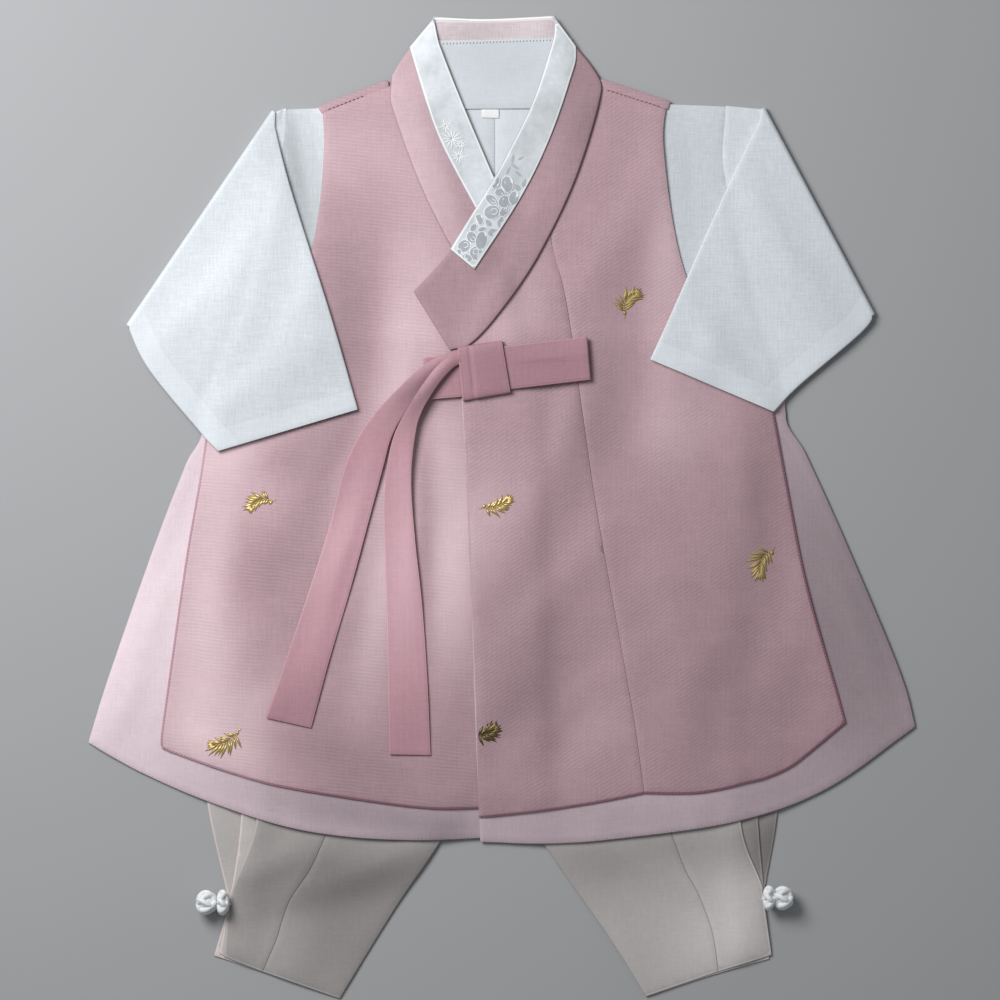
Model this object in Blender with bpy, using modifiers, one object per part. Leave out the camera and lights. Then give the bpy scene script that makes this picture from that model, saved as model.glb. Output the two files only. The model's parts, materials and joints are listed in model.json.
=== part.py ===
"""A small child's hanbok set, laid flat on a surface as it is folded for showing.

Trousers lie lowest. On them lies a long wrap coat: pale rose below, with a white yoke and wide white
sleeves that are folded over the front. A rose over-vest with side slits, a crossed collar band with its
white collar strip, and a tied ribbon close it. Every piece is cloth of its own, laid in the order in which
a maker would lay it, so each panel rests on what is already there.

Frame: +Y towards the neck, +X towards the wearer's left side, +Z up from the surface. The origin is the
middle of the set's outline, on the surface. Sizes and points are in millimetres until they reach a mesh.
"""

import math
from collections import namedtuple

import bmesh
import bpy
import numpy as np
from mathutils import Vector

MM = 0.001

# Driving sizes, in millimetres
CLOTH = 1.0  # wall of a cloth panel
BAND_CLOTH = 1.4  # wall of the interlined collar band
GAP = 0.3  # clearance between neighbouring pieces
SEAM = GAP / 2  # how far each of two sewn panels stays from the line they share
RIBBON_WIDTH = 26.0
GRID = 40.0  # spacing of the points where a laid panel takes its height from the stack
CURVE_STEP = 16.0  # longest straight stretch along a curved edge
HALF_WIDTH = 248.3  # of the whole set, across the coat's hem corners
HALF_LENGTH = 295.3  # of the whole set, from the collar's top to a trouser hem

# Levels where seams and openings lie
WAIST_Y = 75.0
WAISTBAND_HEIGHT = 30.0
YOKE_Y = 68.0  # the white yoke meets the pale skirt of the coat
FACING_Y = 239.0  # the neck facing meets the coat's back
NECK_Y = 252.0  # the collar band meets the backs
TROUSER_CENTRE = -6.0
COAT_CENTRE = -4.2

Finish = namedtuple("Finish", "colour roughness")
FINISHES = {
    "cream_silk": Finish((0.72, 0.68, 0.64), 0.55),
    "pale_rose_silk": Finish((0.80, 0.66, 0.70), 0.50),
    "rose_silk": Finish((0.66, 0.40, 0.46), 0.50),
    "collar_rose": Finish((0.63, 0.40, 0.45), 0.55),
    "ribbon_rose": Finish((0.64, 0.36, 0.43), 0.45),
    "white_silk": Finish((0.84, 0.87, 0.88), 0.45),
    "white_brocade": Finish((0.82, 0.86, 0.88), 0.40),
    "white_cord": Finish((0.78, 0.82, 0.84), 0.40),
    "label_tape": Finish((0.86, 0.86, 0.85), 0.60),
}

# Edges that two panels share, or that set the set's outline. Each is a curve through its points.
FRONT_EDGE = [(-24.2, YOKE_Y), (-20.7, 6.6), (-18.1, -63.8), (-16.3, -116.6), (-12.8, -201.0)]
COAT_SIDE_LEFT = [
    (-178.0, YOKE_Y), (-181.0, 41.0), (-188.1, 29.3), (-207.0, -18.7), (-236.0, -101.6), (-HALF_WIDTH, -141.3),
]
COAT_SIDE_RIGHT = [
    (169.5, YOKE_Y), (172.0, 48.6), (180.7, 35.5), (205.4, -18.3), (238.8, -98.3), (HALF_WIDTH, -132.0),
]
COAT_HEM_UNDER = [
    (-HALF_WIDTH, -141.3), (-221.2, -157.1), (-177.1, -176.5), (-119.0, -194.1), (-53.9, -199.9), (30.0, -196.5),
]
COAT_HEM_OVER = [
    (-12.8, -201.0), (23.8, -202.1), (66.1, -199.4), (140.0, -188.8), (194.6, -169.5), (HALF_WIDTH, -132.0),
]
ARMHOLE_SEAM_LEFT = [(-133.0, 238.5), (-139.0, 190.0), (-157.0, 120.0), (-176.0, 76.0)]
ARMHOLE_SEAM_RIGHT = [(135.0, 240.5), (135.8, 198.0), (153.0, 115.0), (168.0, 76.0)]
VEST_ARMHOLE_LEFT = [
    (-107.6, 236.6), (-106.6, 215.5), (-111.0, 169.0), (-125.0, 118.0), (-150.0, 80.0), (-175.0, 62.0),
]
VEST_ARMHOLE_RIGHT = [
    (98.5, 238.6), (96.8, 220.2), (101.9, 175.6), (110.5, 138.9), (125.0, 108.0), (162.0, 64.0),
]
VEST_SIDE_LEFT = [(-175.0, 62.0), (-180.8, 20.6), (-189.5, -30.3), (-199.7, -101.6), (-204.8, -139.4)]
VEST_SIDE_RIGHT = [(162.0, 64.0), (171.2, 13.7), (183.6, -48.8), (201.1, -109.9), (206.5, -129.5)]
VEST_HEM_UNDER = [
    (-201.0, -146.4), (-159.5, -160.7), (-124.3, -169.5), (-53.9, -180.1), (-15.2, -180.9), (28.0, -179.5),
]
OVERLAP_SEAM = [
    (29.7, 160.9), (39.1, 120.6), (47.9, 59.4), (56.7, -0.5), (69.1, -70.9), (79.3, -127.8), (85.4, -171.8),
]
BAND_OVER_OUTER = [
    (45.0, 276.2), (58.2, 258.3), (58.2, 241.7), (42.7, 193.2), (18.3, 144.5), (-7.6, 108.7), (-20.0, 96.7),
]
BAND_OVER_INNER = [(-30.6, 153.9), (-4.6, 196.4), (11.3, 226.2), (21.5, 249.1), (31.6, 282.2), (32.3, 293.4)]
BAND_UNDER_OUTER = [
    (-54.8, 276.2), (-66.4, 258.3), (-67.0, 244.0), (-50.3, 196.2), (-30.6, 156.4), (-16.0, 136.0),
]
BAND_UNDER_INNER = [(12.0, 168.0), (-4.6, 196.4), (-21.7, 236.2), (-32.8, 263.8), (-38.7, 280.3), (-41.2, 293.2)]
STRIP_OVER_OUTER = [(44.6, 276.6), (44.4, 268.0), (30.7, 226.2), (12.6, 187.9), (-16.4, 142.4)]
STRIP_UNDER_OUTER = [(-55.4, 276.2), (-47.4, 249.1), (-36.4, 218.5), (-15.0, 178.1), (-8.0, 166.0)]
TROUSER_SEAM_LEFT = [
    (-143.7, -279.1), (-134.9, -258.4), (-127.9, -237.2), (-105.8, -196.8), (-72.0, -80.0), (-64.0, WAIST_Y),
]
TROUSER_SEAM_RIGHT = [
    (130.0, -279.0), (126.7, -256.4), (118.2, -232.8), (103.5, -200.8), (66.0, -80.0), (52.0, WAIST_Y),
]
INSEAM_LEFT = [(-97.4, -HALF_LENGTH), (-62.7, -239.0), (-36.3, -199.9), (TROUSER_CENTRE, -146.0)]
INSEAM_RIGHT = [(86.6, -294.0), (64.3, -258.4), (25.6, -202.9), (TROUSER_CENTRE, -146.0)]

# Soft swells of the laid vest: middle, direction of the ridge in degrees, its length, breadth and height
Swell = namedtuple("Swell", "x y run length breadth height")
SWELLS = [
    Swell(-120.0, 10.0, 60.0, 120.0, 34.0, 2.6),
    Swell(-150.0, -95.0, 75.0, 90.0, 30.0, 2.0),
    Swell(-45.0, -70.0, 92.0, 130.0, 30.0, 1.8),
    Swell(20.0, -10.0, 48.0, 110.0, 30.0, 2.4),
    Swell(110.0, 95.0, 70.0, 90.0, 32.0, 2.2),
    Swell(125.0, -60.0, 100.0, 130.0, 36.0, 2.6),
    Swell(40.0, -120.0, 60.0, 90.0, 28.0, 2.0),
]

# A sleeve, laid flat and folded back over the front along a slanting crease
Sleeve = namedtuple("Sleeve", "name seam crease top_edge under_edge")
SLEEVES = [
    Sleeve(
        "sleeve_left",
        seam=[(-133.6, 238.2), (-176.8, 76.2)],
        crease=[(-138.6, 237.8), (-225.2, 110.2)],
        top_edge=[(-138.6, 237.8), (-127.7, 193.7), (-103.0, 115.1), (-86.7, 58.4)],
        under_edge=[(-225.2, 110.2), (-212.0, 83.2), (-181.5, 46.1), (-169.9, 33.7)],
    ),
    Sleeve(
        "sleeve_right",
        seam=[(135.7, 240.2), (168.8, 76.2)],
        crease=[(158.5, 239.4), (223.9, 116.6)],
        top_edge=[(158.5, 239.4), (134.5, 189.3), (101.0, 113.7), (89.4, 88.3)],
        under_edge=[(223.9, 116.6), (215.9, 105.0), (178.1, 73.0), (162.8, 57.3)],
    ),
]
SLEEVE_HALF_DEPTH = 0.8  # from the flattened tube's middle to the middle of its wall
CREASE_RADIUS = 2.4
CREASE_TURNS = 6
SLEEVE_LIFT = 0.5  # over what a folded sleeve lies on

# The two loose ribbon ends: both edges of the ribbon and their heights over what lies below
Row = namedtuple("Row", "left right left_lift right_lift")
TAILS = {
    "ribbon_tail_outer": [
        Row((-30.4, 93.0), (-29.4, 87.8), 0.8, 2.2),
        Row((-45.4, 86.0), (-43.3, 76.0), 1.6, 3.4),
        Row((-62.6, 70.5), (-57.0, 58.0), 2.2, 3.4),
        Row((-79.7, 51.6), (-66.0, 42.3), 2.0, 3.0),
        Row((-92.5, 28.5), (-71.6, 22.2), 1.8, 3.0),
        Row((-103.5, -12.0), (-81.0, -12.9), 0.8, 1.6),
        Row((-113.8, -44.7), (-91.0, -50.0), 0.5, 0.8),
        Row((-127.5, -85.7), (-103.5, -92.0), 0.5, 0.5),
        Row((-141.3, -126.3), (-114.4, -132.5), 0.5, 0.5),
    ],
    "ribbon_tail_inner": [
        Row((-29.6, 92.2), (-28.8, 84.8), 5.0, 6.6),
        Row((-41.3, 81.6), (-38.4, 73.0), 6.6, 8.0),
        Row((-54.0, 63.0), (-48.0, 57.0), 7.2, 8.0),
        Row((-65.2, 41.0), (-51.9, 42.8), 6.8, 7.4),
        Row((-70.2, 10.6), (-54.3, 15.9), 4.6, 5.6),
        Row((-70.3, -20.2), (-51.9, -20.2), 2.2, 3.2),
        Row((-69.0, -60.0), (-47.8, -58.0), 1.0, 1.6),
        Row((-68.2, -105.0), (-44.6, -104.0), 0.5, 0.8),
        Row((-67.4, -148.3), (-42.7, -148.8), 0.5, 0.5),
    ],
}

# The tied ribbon: a band that runs left from the knot, and a flattened loop to its right
LOOP_TOP = [(-47.0, 89.5), (-25.0, 92.0), (0.9, 96.2), (53.0, 102.3)]
LOOP_FOOT = [(-47.0, 64.2), (-25.0, 66.0), (4.9, 70.6), (55.2, 76.6)]
KNOT_TOP = [(-26.5, 95.6), (0.0, 99.6)]
KNOT_FOOT = [(-23.4, 63.6), (5.2, 68.6)]
KNOT_TALL = 3.0  # half depth of the knot's flattened ring

AnkleClosing = namedtuple("AnkleClosing", "side button_x loop_x y button_radius loop_radius cord_radius")
ANKLE_CLOSINGS = [
    AnkleClosing("left", -177.2, -167.3, -237.1, 6.5, 6.2, 2.7),
    AnkleClosing("right", 169.9, 160.3, -234.5, 6.1, 5.6, 2.4),
]
CORD_FLATTENING = 0.75  # depth of a cord ring over its height in plan


def material(finish):
    """A Principled material for one finish, made once and then shared."""
    found = bpy.data.materials.get(finish)
    if found is None:
        found = bpy.data.materials.new(finish)
        found.use_nodes = True
        shader = found.node_tree.nodes["Principled BSDF"]
        shader.inputs["Base Color"].default_value = (*FINISHES[finish].colour, 1.0)
        shader.inputs["Roughness"].default_value = FINISHES[finish].roughness
        shader.inputs["Metallic"].default_value = 0.0
    return found


def add_object(name, mesh, finish, collection):
    """Links a mesh as one named piece of the set."""
    piece = bpy.data.objects.new(name, mesh)
    piece.data.materials.append(material(finish))
    collection.objects.link(piece)
    return piece


def curve_points(through, step=CURVE_STEP):
    """Points along a smooth curve (Catmull-Rom) through the given ones; two points give a straight line."""
    points = [np.array(p, float) for p in through]
    if len(points) == 2:
        return points
    ends = [2 * points[0] - points[1], *points, 2 * points[-1] - points[-2]]
    line = []
    for before, start, stop, after in zip(ends, ends[1:], ends[2:], ends[3:]):
        count = max(1, math.ceil(np.linalg.norm((stop - start)[:2]) / step))
        for t in np.arange(count) / count:
            line.append(
                0.5
                * (
                    2 * start
                    + (stop - before) * t
                    + (2 * before - 5 * start + 4 * stop - after) * t * t
                    + (3 * start - before - 3 * stop + after) * t**3
                )
            )
    return [*line, points[-1]]


def outline(*edges):
    """A closed outline from edges in order; an edge starts where the one before it ends, or is joined to it."""
    points = []
    for edge in edges:
        for point in curve_points(edge):
            if not points or np.linalg.norm(point - points[-1]) > GAP:
                points.append(point)
    if np.linalg.norm(points[0] - points[-1]) < GAP:
        points.pop()
    return np.array(points)


def moved(edge, dx=0.0, dy=0.0):
    """The same edge a little to one side, for a seam's gap or a layer that stops short."""
    return [(x + dx, y + dy) for x, y in edge]


def back(edge):
    """The same edge, run the other way."""
    return edge[::-1]


def inside(outline_points, x, y):
    """Which of the points (x, y) lie inside the outline, by counting crossings."""
    found = np.zeros(x.shape, bool)
    for (x0, y0), (x1, y1) in zip(outline_points, np.roll(outline_points, -1, axis=0)):
        crosses = (y0 > y) != (y1 > y)
        if y0 != y1:
            found ^= crosses & (x < x0 + (y - y0) * (x1 - x0) / (y1 - y0))
    return found


class Stack:
    """Heights of what has been laid so far, at the points of one square grid that every panel shares."""

    SAMPLES = 8  # per grid cell and direction, when a cell is tested for cloth

    def __init__(self):
        self.x, self.y = (
            np.arange(-math.ceil(half / GRID) - 0.5, math.ceil(half / GRID) + 1.0) * GRID
            for half in (HALF_WIDTH, HALF_LENGTH)
        )
        self.top = np.zeros((len(self.x), len(self.y)))

    def cells_under(self, points):
        """True for each grid cell that an outline covers, even in part."""
        fine = (np.arange((len(self.x) - 1) * self.SAMPLES) + 0.5) * GRID / self.SAMPLES + self.x[0]
        tall = (np.arange((len(self.y) - 1) * self.SAMPLES) + 0.5) * GRID / self.SAMPLES + self.y[0]
        covered = inside(points, *np.meshgrid(fine, tall, indexing="ij"))
        cells = covered.reshape(len(self.x) - 1, self.SAMPLES, len(self.y) - 1, self.SAMPLES).any(axis=(1, 3))
        for start, stop in zip(points, np.roll(points, -1, axis=0)):
            for t in np.linspace(0, 1, 2 + int(np.linalg.norm(stop - start) / 2)):
                x, y = start + (stop - start) * t
                cells[int((x - self.x[0]) // GRID), int((y - self.y[0]) // GRID)] = True
        return cells

    def cover(self, cells, heights):
        """Raises the stack to the given heights at every corner of the covered cells."""
        corners = np.zeros(self.top.shape, bool)
        for i, j in ((0, 0), (1, 0), (0, 1), (1, 1)):
            corners[i : i + cells.shape[0], j : j + cells.shape[1]] |= cells
        self.top = np.where(corners, np.maximum(self.top, heights), self.top)

    def height(self, x, y):
        """The highest corner of the grid cell that holds a point, so that what is laid there clears it."""
        i = int((x - self.x[0]) // GRID)
        j = int((y - self.y[0]) // GRID)
        return self.top[i : i + 2, j : j + 2].max()


def cutter_from(points, collection):
    """A tall prism of an outline, to cut a panel with: a filled flat curve made a closed mesh."""
    curve = bpy.data.curves.new("pattern", "CURVE")
    curve.dimensions = "2D"
    curve.fill_mode = "BOTH"
    curve.extrude = 0.1
    spline = curve.splines.new("POLY")
    spline.points.add(len(points) - 1)
    for point, (x, y) in zip(spline.points, points):
        point.co = (x * MM, y * MM, 0.0, 1.0)
    spline.use_cyclic_u = True
    drawn = bpy.data.objects.new("pattern", curve)
    collection.objects.link(drawn)
    graph = bpy.context.evaluated_depsgraph_get()
    mesh = bpy.data.meshes.new_from_object(drawn.evaluated_get(graph))
    bpy.data.objects.remove(drawn)
    shape = bmesh.new()
    shape.from_mesh(mesh)
    bmesh.ops.remove_doubles(shape, verts=shape.verts, dist=1e-6)
    bmesh.ops.recalc_face_normals(shape, faces=shape.faces)
    shape.to_mesh(mesh)
    shape.free()
    cutter = bpy.data.objects.new("pattern_cutter", mesh)
    collection.objects.link(cutter)
    cutter.hide_render = True
    cutter.display_type = "WIRE"
    return cutter


def draped_sheet(stack, cells, heights, wall):
    """Uncut cloth over the covered cells: the grid at the stack's heights, thickened straight up."""
    shape = bmesh.new()
    bmesh.ops.create_grid(shape, x_segments=len(stack.x) - 1, y_segments=len(stack.y) - 1, size=0.5)
    shape.verts.ensure_lookup_table()
    for vert in shape.verts:
        i = int(round((vert.co.x + 0.5) * (len(stack.x) - 1)))
        j = int(round((vert.co.y + 0.5) * (len(stack.y) - 1)))
        vert.co = Vector((stack.x[i], stack.y[j], heights[i, j])) * MM
    spare = []
    for face in shape.faces:
        middle = face.calc_center_median() / MM
        i = int((middle.x - stack.x[0]) // GRID)
        j = int((middle.y - stack.y[0]) // GRID)
        if not cells[i, j]:
            spare.append(face)
    bmesh.ops.delete(shape, geom=spare, context="FACES")
    bmesh.ops.triangulate(shape, faces=shape.faces, quad_method="FIXED")
    grown = bmesh.ops.extrude_face_region(shape, geom=shape.faces[:])
    upper = [part for part in grown["geom"] if isinstance(part, bmesh.types.BMVert)]
    bmesh.ops.translate(shape, verts=upper, vec=(0.0, 0.0, wall * MM))
    bmesh.ops.recalc_face_normals(shape, faces=shape.faces)
    mesh = bpy.data.meshes.new("draped")
    shape.to_mesh(mesh)
    shape.free()
    return mesh


def merge_flat_faces(piece):
    """Joins faces that lie in one plane, so that a flat stretch of cloth costs few triangles."""
    shape = bmesh.new()
    shape.from_mesh(piece.data)
    bmesh.ops.remove_doubles(shape, verts=shape.verts, dist=2e-6)
    bmesh.ops.dissolve_limit(
        shape, angle_limit=math.radians(0.05), verts=shape.verts, edges=shape.edges
    )
    bmesh.ops.triangulate(shape, faces=shape.faces)
    shape.to_mesh(piece.data)
    shape.free()


Panel = namedtuple("Panel", "name finish points wall")


def lay(stack, panels, collection, cutters, swell=None):
    """Lays one course of panels, which lie side by side, on the stack, and cuts each to its outline."""
    heights = stack.top.copy()
    if swell is not None:
        heights = heights + swell(*np.meshgrid(stack.x, stack.y, indexing="ij"))
    laid = []
    for panel in panels:
        cells = stack.cells_under(panel.points)
        piece = add_object(panel.name, draped_sheet(stack, cells, heights, panel.wall), panel.finish, collection)
        cutter = cutter_from(panel.points, cutters)
        cut = piece.modifiers.new("cut to pattern", "BOOLEAN")
        cut.operation = "INTERSECT"
        cut.object = cutter
        graph = bpy.context.evaluated_depsgraph_get()
        mesh = bpy.data.meshes.new_from_object(piece.evaluated_get(graph))
        piece.modifiers.clear()
        piece.data = mesh
        bpy.data.objects.remove(cutter)
        merge_flat_faces(piece)
        laid.append((cells, heights + panel.wall + GAP))
    for cells, top in laid:
        stack.cover(cells, top)


def vest_swell(x, y):
    """Height that the vest's soft folds add, in millimetres."""
    total = np.zeros(x.shape)
    for fold in SWELLS:
        turn = math.radians(fold.run)
        along = (x - fold.x) * math.cos(turn) + (y - fold.y) * math.sin(turn)
        across = (y - fold.y) * math.cos(turn) - (x - fold.x) * math.sin(turn)
        total += fold.height * np.exp(-((2 * along / fold.length) ** 2) - (2 * across / fold.breadth) ** 2)
    return total


def thickened(name, rows, closed_rows, wall, finish, collection):
    """A piece of cloth lofted through rows of points, as an open surface with a wall from Solidify."""
    mesh = bpy.data.meshes.new(name)
    width = len(rows[0])
    count = width if closed_rows else width - 1
    faces = [
        (r * width + c, r * width + (c + 1) % width, (r + 1) * width + (c + 1) % width, (r + 1) * width + c)
        for r in range(len(rows) - 1)
        for c in range(count)
    ]
    mesh.from_pydata([Vector(p) * MM for row in rows for p in row], [], faces)
    shape = bmesh.new()
    shape.from_mesh(mesh)
    bmesh.ops.recalc_face_normals(shape, faces=shape.faces)
    bmesh.ops.triangulate(shape, faces=shape.faces)
    shape.to_mesh(mesh)
    shape.free()
    piece = add_object(name, mesh, finish, collection)
    solid = piece.modifiers.new("cloth wall", "SOLIDIFY")
    solid.thickness = wall * MM
    solid.offset = 0.0
    solid.use_even_offset = True
    return piece


def flat_ring(start, stop, middles, normal, half_depth):
    """One section of a flattened tube: out along one wall, round the edge and back along the other."""
    along = (stop - start) / np.linalg.norm(stop - start)
    upper = [middle + normal * half_depth for middle in middles]
    lower = [middle - normal * half_depth for middle in middles]
    return [*upper, middles[-1] + along * half_depth, *lower[::-1], middles[0] - along * half_depth]


def sleeve_sections(sleeve, stack):
    """Sections of a sleeve from its armhole, round the crease, and over the front to the open cuff."""
    across = np.linspace(0.0, 1.0, 7)
    seam = [np.array((*p, 0.0)) for p in sleeve.seam]
    crease = [np.array((*p, 0.0)) for p in sleeve.crease]
    along = (crease[1] - crease[0]) / np.linalg.norm(crease[1] - crease[0])
    outward = np.array((along[1], -along[0], 0.0))
    if np.dot(outward, crease[0] + crease[1]) < 0:
        outward = -outward
    up = np.array((0.0, 0.0, 1.0))
    outer_wall = SLEEVE_HALF_DEPTH + CLOTH / 2
    axis = [p - outward * (CREASE_RADIUS + outer_wall) for p in crease]
    root_z = outer_wall
    rings = []
    for share in (0.0, 0.55):
        start = seam[0] + (axis[0] - seam[0]) * share + up * root_z
        stop = seam[1] + (axis[1] - seam[1]) * share + up * root_z
        middles = [start + (stop - start) * u for u in across]
        rings.append(flat_ring(start, stop, middles, up, SLEEVE_HALF_DEPTH))
    for step in range(CREASE_TURNS + 1):
        turn = math.pi * step / CREASE_TURNS
        push = outward * math.sin(turn) - up * math.cos(turn)
        ends = [p + up * (root_z + CREASE_RADIUS) + push * CREASE_RADIUS for p in axis]
        middles = [ends[0] + (ends[1] - ends[0]) * u for u in across]
        rings.append(flat_ring(ends[0], ends[1], middles, -push, SLEEVE_HALF_DEPTH))
    top_edge = curve_points(sleeve.top_edge, 4.0)
    under_edge = curve_points(sleeve.under_edge, 4.0)
    fold_z = root_z + 2 * CREASE_RADIUS
    for share in (0.22, 0.42, 0.62, 0.81, 1.0):
        start = np.array((*top_edge[round(share * (len(top_edge) - 1))], 0.0))
        stop = np.array((*under_edge[round(share * (len(under_edge) - 1))], 0.0))
        middles = []
        for u in across:
            middle = start + (stop - start) * u
            rest = stack.height(middle[0], middle[1]) + SLEEVE_LIFT + outer_wall
            middle[2] = max(rest, fold_z)
            middles.append(middle)
        rings.append(flat_ring(start, stop, middles, -up, SLEEVE_HALF_DEPTH))
    return rings


def make_sleeves(stack, collection):
    for sleeve in SLEEVES:
        rings = sleeve_sections(sleeve, stack)
        thickened(sleeve.name, rings, True, CLOTH, "white_silk", collection)


def make_waistband(stack, collection):
    """A flattened ring of doubled cloth that holds the tops of the trouser panels."""
    half_depth = (CLOTH + GAP) / 2
    middle_z = half_depth + CLOTH / 2
    rings = []
    for y in np.linspace(WAIST_Y + GAP, WAIST_Y + WAISTBAND_HEIGHT, 3):
        middles = [np.array((x, y, middle_z)) for x in np.linspace(-116.5, 104.5, 7)]
        rings.append(flat_ring(middles[0], middles[-1], middles, np.array((0.0, 0.0, 1.0)), half_depth))
    thickened("trouser_waistband", rings, True, CLOTH, "cream_silk", collection)
    ground = outline(
        [(-118.5, WAIST_Y), (106.5, WAIST_Y)],
        [(106.5, WAIST_Y + WAISTBAND_HEIGHT), (-118.5, WAIST_Y + WAISTBAND_HEIGHT)],
    )
    stack.cover(stack.cells_under(ground), 2 * (CLOTH + GAP))


def trouser_panels():
    """The trouser courses: backs, the pleats at the ankles, and the fronts in two panels a leg."""
    centre_left = [(TROUSER_CENTRE - SEAM, -146.0), (TROUSER_CENTRE - SEAM, WAIST_Y)]
    centre_right = [(TROUSER_CENTRE + SEAM, -146.0), (TROUSER_CENTRE + SEAM, WAIST_Y)]
    back_left = outline(
        [(TROUSER_CENTRE - SEAM, WAIST_Y), (-118.0, WAIST_Y)],
        [
            (-118.0, WAIST_Y), (-152.0, 15.0), (-174.0, -60.0), (-180.0, -125.0), (-177.1, -176.5),
            (-166.0, -228.0), (-163.9, -237.0), (-166.5, -248.0), (-172.8, -269.6),
        ],
        [(-172.8, -269.6), (-143.7, -279.1), (-97.4, -HALF_LENGTH)],
        moved(INSEAM_LEFT, -SEAM),
        centre_left,
    )
    back_right = outline(
        [(TROUSER_CENTRE + SEAM, WAIST_Y), (106.0, WAIST_Y)],
        [
            (106.0, WAIST_Y), (140.0, 15.0), (160.0, -60.0), (167.0, -125.0), (165.8, -180.6),
            (158.5, -226.0), (157.3, -234.5), (158.6, -246.0), (160.6, -271.6),
        ],
        [(160.6, -271.6), (130.0, -280.2), (86.6, -294.0)],
        moved(INSEAM_RIGHT, SEAM),
        centre_right,
    )
    pleat_left = outline(
        [(-130.0, -110.0), (-158.0, -110.0)],
        [(-158.0, -110.0), (-156.4, -184.0), (-162.5, -231.0), (-163.9, -237.0), (-169.6, -268.4)],
        [(-169.6, -268.4), (-150.0, -275.2)],
    )
    pleat_right = outline(
        [(130.0, -110.0), (150.0, -110.0)],
        [(150.0, -110.0), (153.6, -185.7), (157.0, -226.0), (157.2, -234.5), (160.4, -268.0)],
        [(160.4, -268.0), (140.0, -274.5)],
    )
    outer_left = outline(
        [(-64.0 - SEAM, WAIST_Y), (-112.0, WAIST_Y)],
        [
            (-112.0, WAIST_Y), (-138.0, 15.0), (-150.0, -60.0), (-148.0, -130.0), (-147.2, -188.0),
            (-162.7, -233.7), (-166.9, -269.9),
        ],
        [(-166.9, -269.9), (-143.7 - SEAM, -279.1)],
        moved(TROUSER_SEAM_LEFT, -SEAM),
    )
    inner_left = outline(
        back(moved(TROUSER_SEAM_LEFT, SEAM)),
        [(-143.7 + SEAM, -279.1), (-97.4, -HALF_LENGTH)],
        moved(INSEAM_LEFT, -SEAM),
        centre_left,
    )
    outer_right = outline(
        [(52.0 + SEAM, WAIST_Y), (100.0, WAIST_Y)],
        [
            (100.0, WAIST_Y), (126.0, 15.0), (142.0, -60.0), (143.0, -130.0), (143.5, -190.7),
            (155.7, -226.0), (157.0, -234.5), (162.0, -269.0),
        ],
        [(162.0, -269.0), (130.0 + SEAM, -279.0)],
        moved(TROUSER_SEAM_RIGHT, SEAM),
    )
    inner_right = outline(
        back(moved(TROUSER_SEAM_RIGHT, -SEAM)),
        [(130.0 - SEAM, -279.0), (86.6, -294.0)],
        moved(INSEAM_RIGHT, SEAM),
        centre_right,
    )
    silk = "cream_silk"
    return [
        [
            Panel("trouser_back_left", silk, back_left, CLOTH),
            Panel("trouser_back_right", silk, back_right, CLOTH),
        ],
        [
            Panel("trouser_pleat_left", silk, pleat_left, CLOTH),
            Panel("trouser_pleat_right", silk, pleat_right, CLOTH),
        ],
        [
            Panel("trouser_front_outer_left", silk, outer_left, CLOTH),
            Panel("trouser_front_inner_left", silk, inner_left, CLOTH),
            Panel("trouser_front_outer_right", silk, outer_right, CLOTH),
            Panel("trouser_front_inner_right", silk, inner_right, CLOTH),
        ],
    ]


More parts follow.
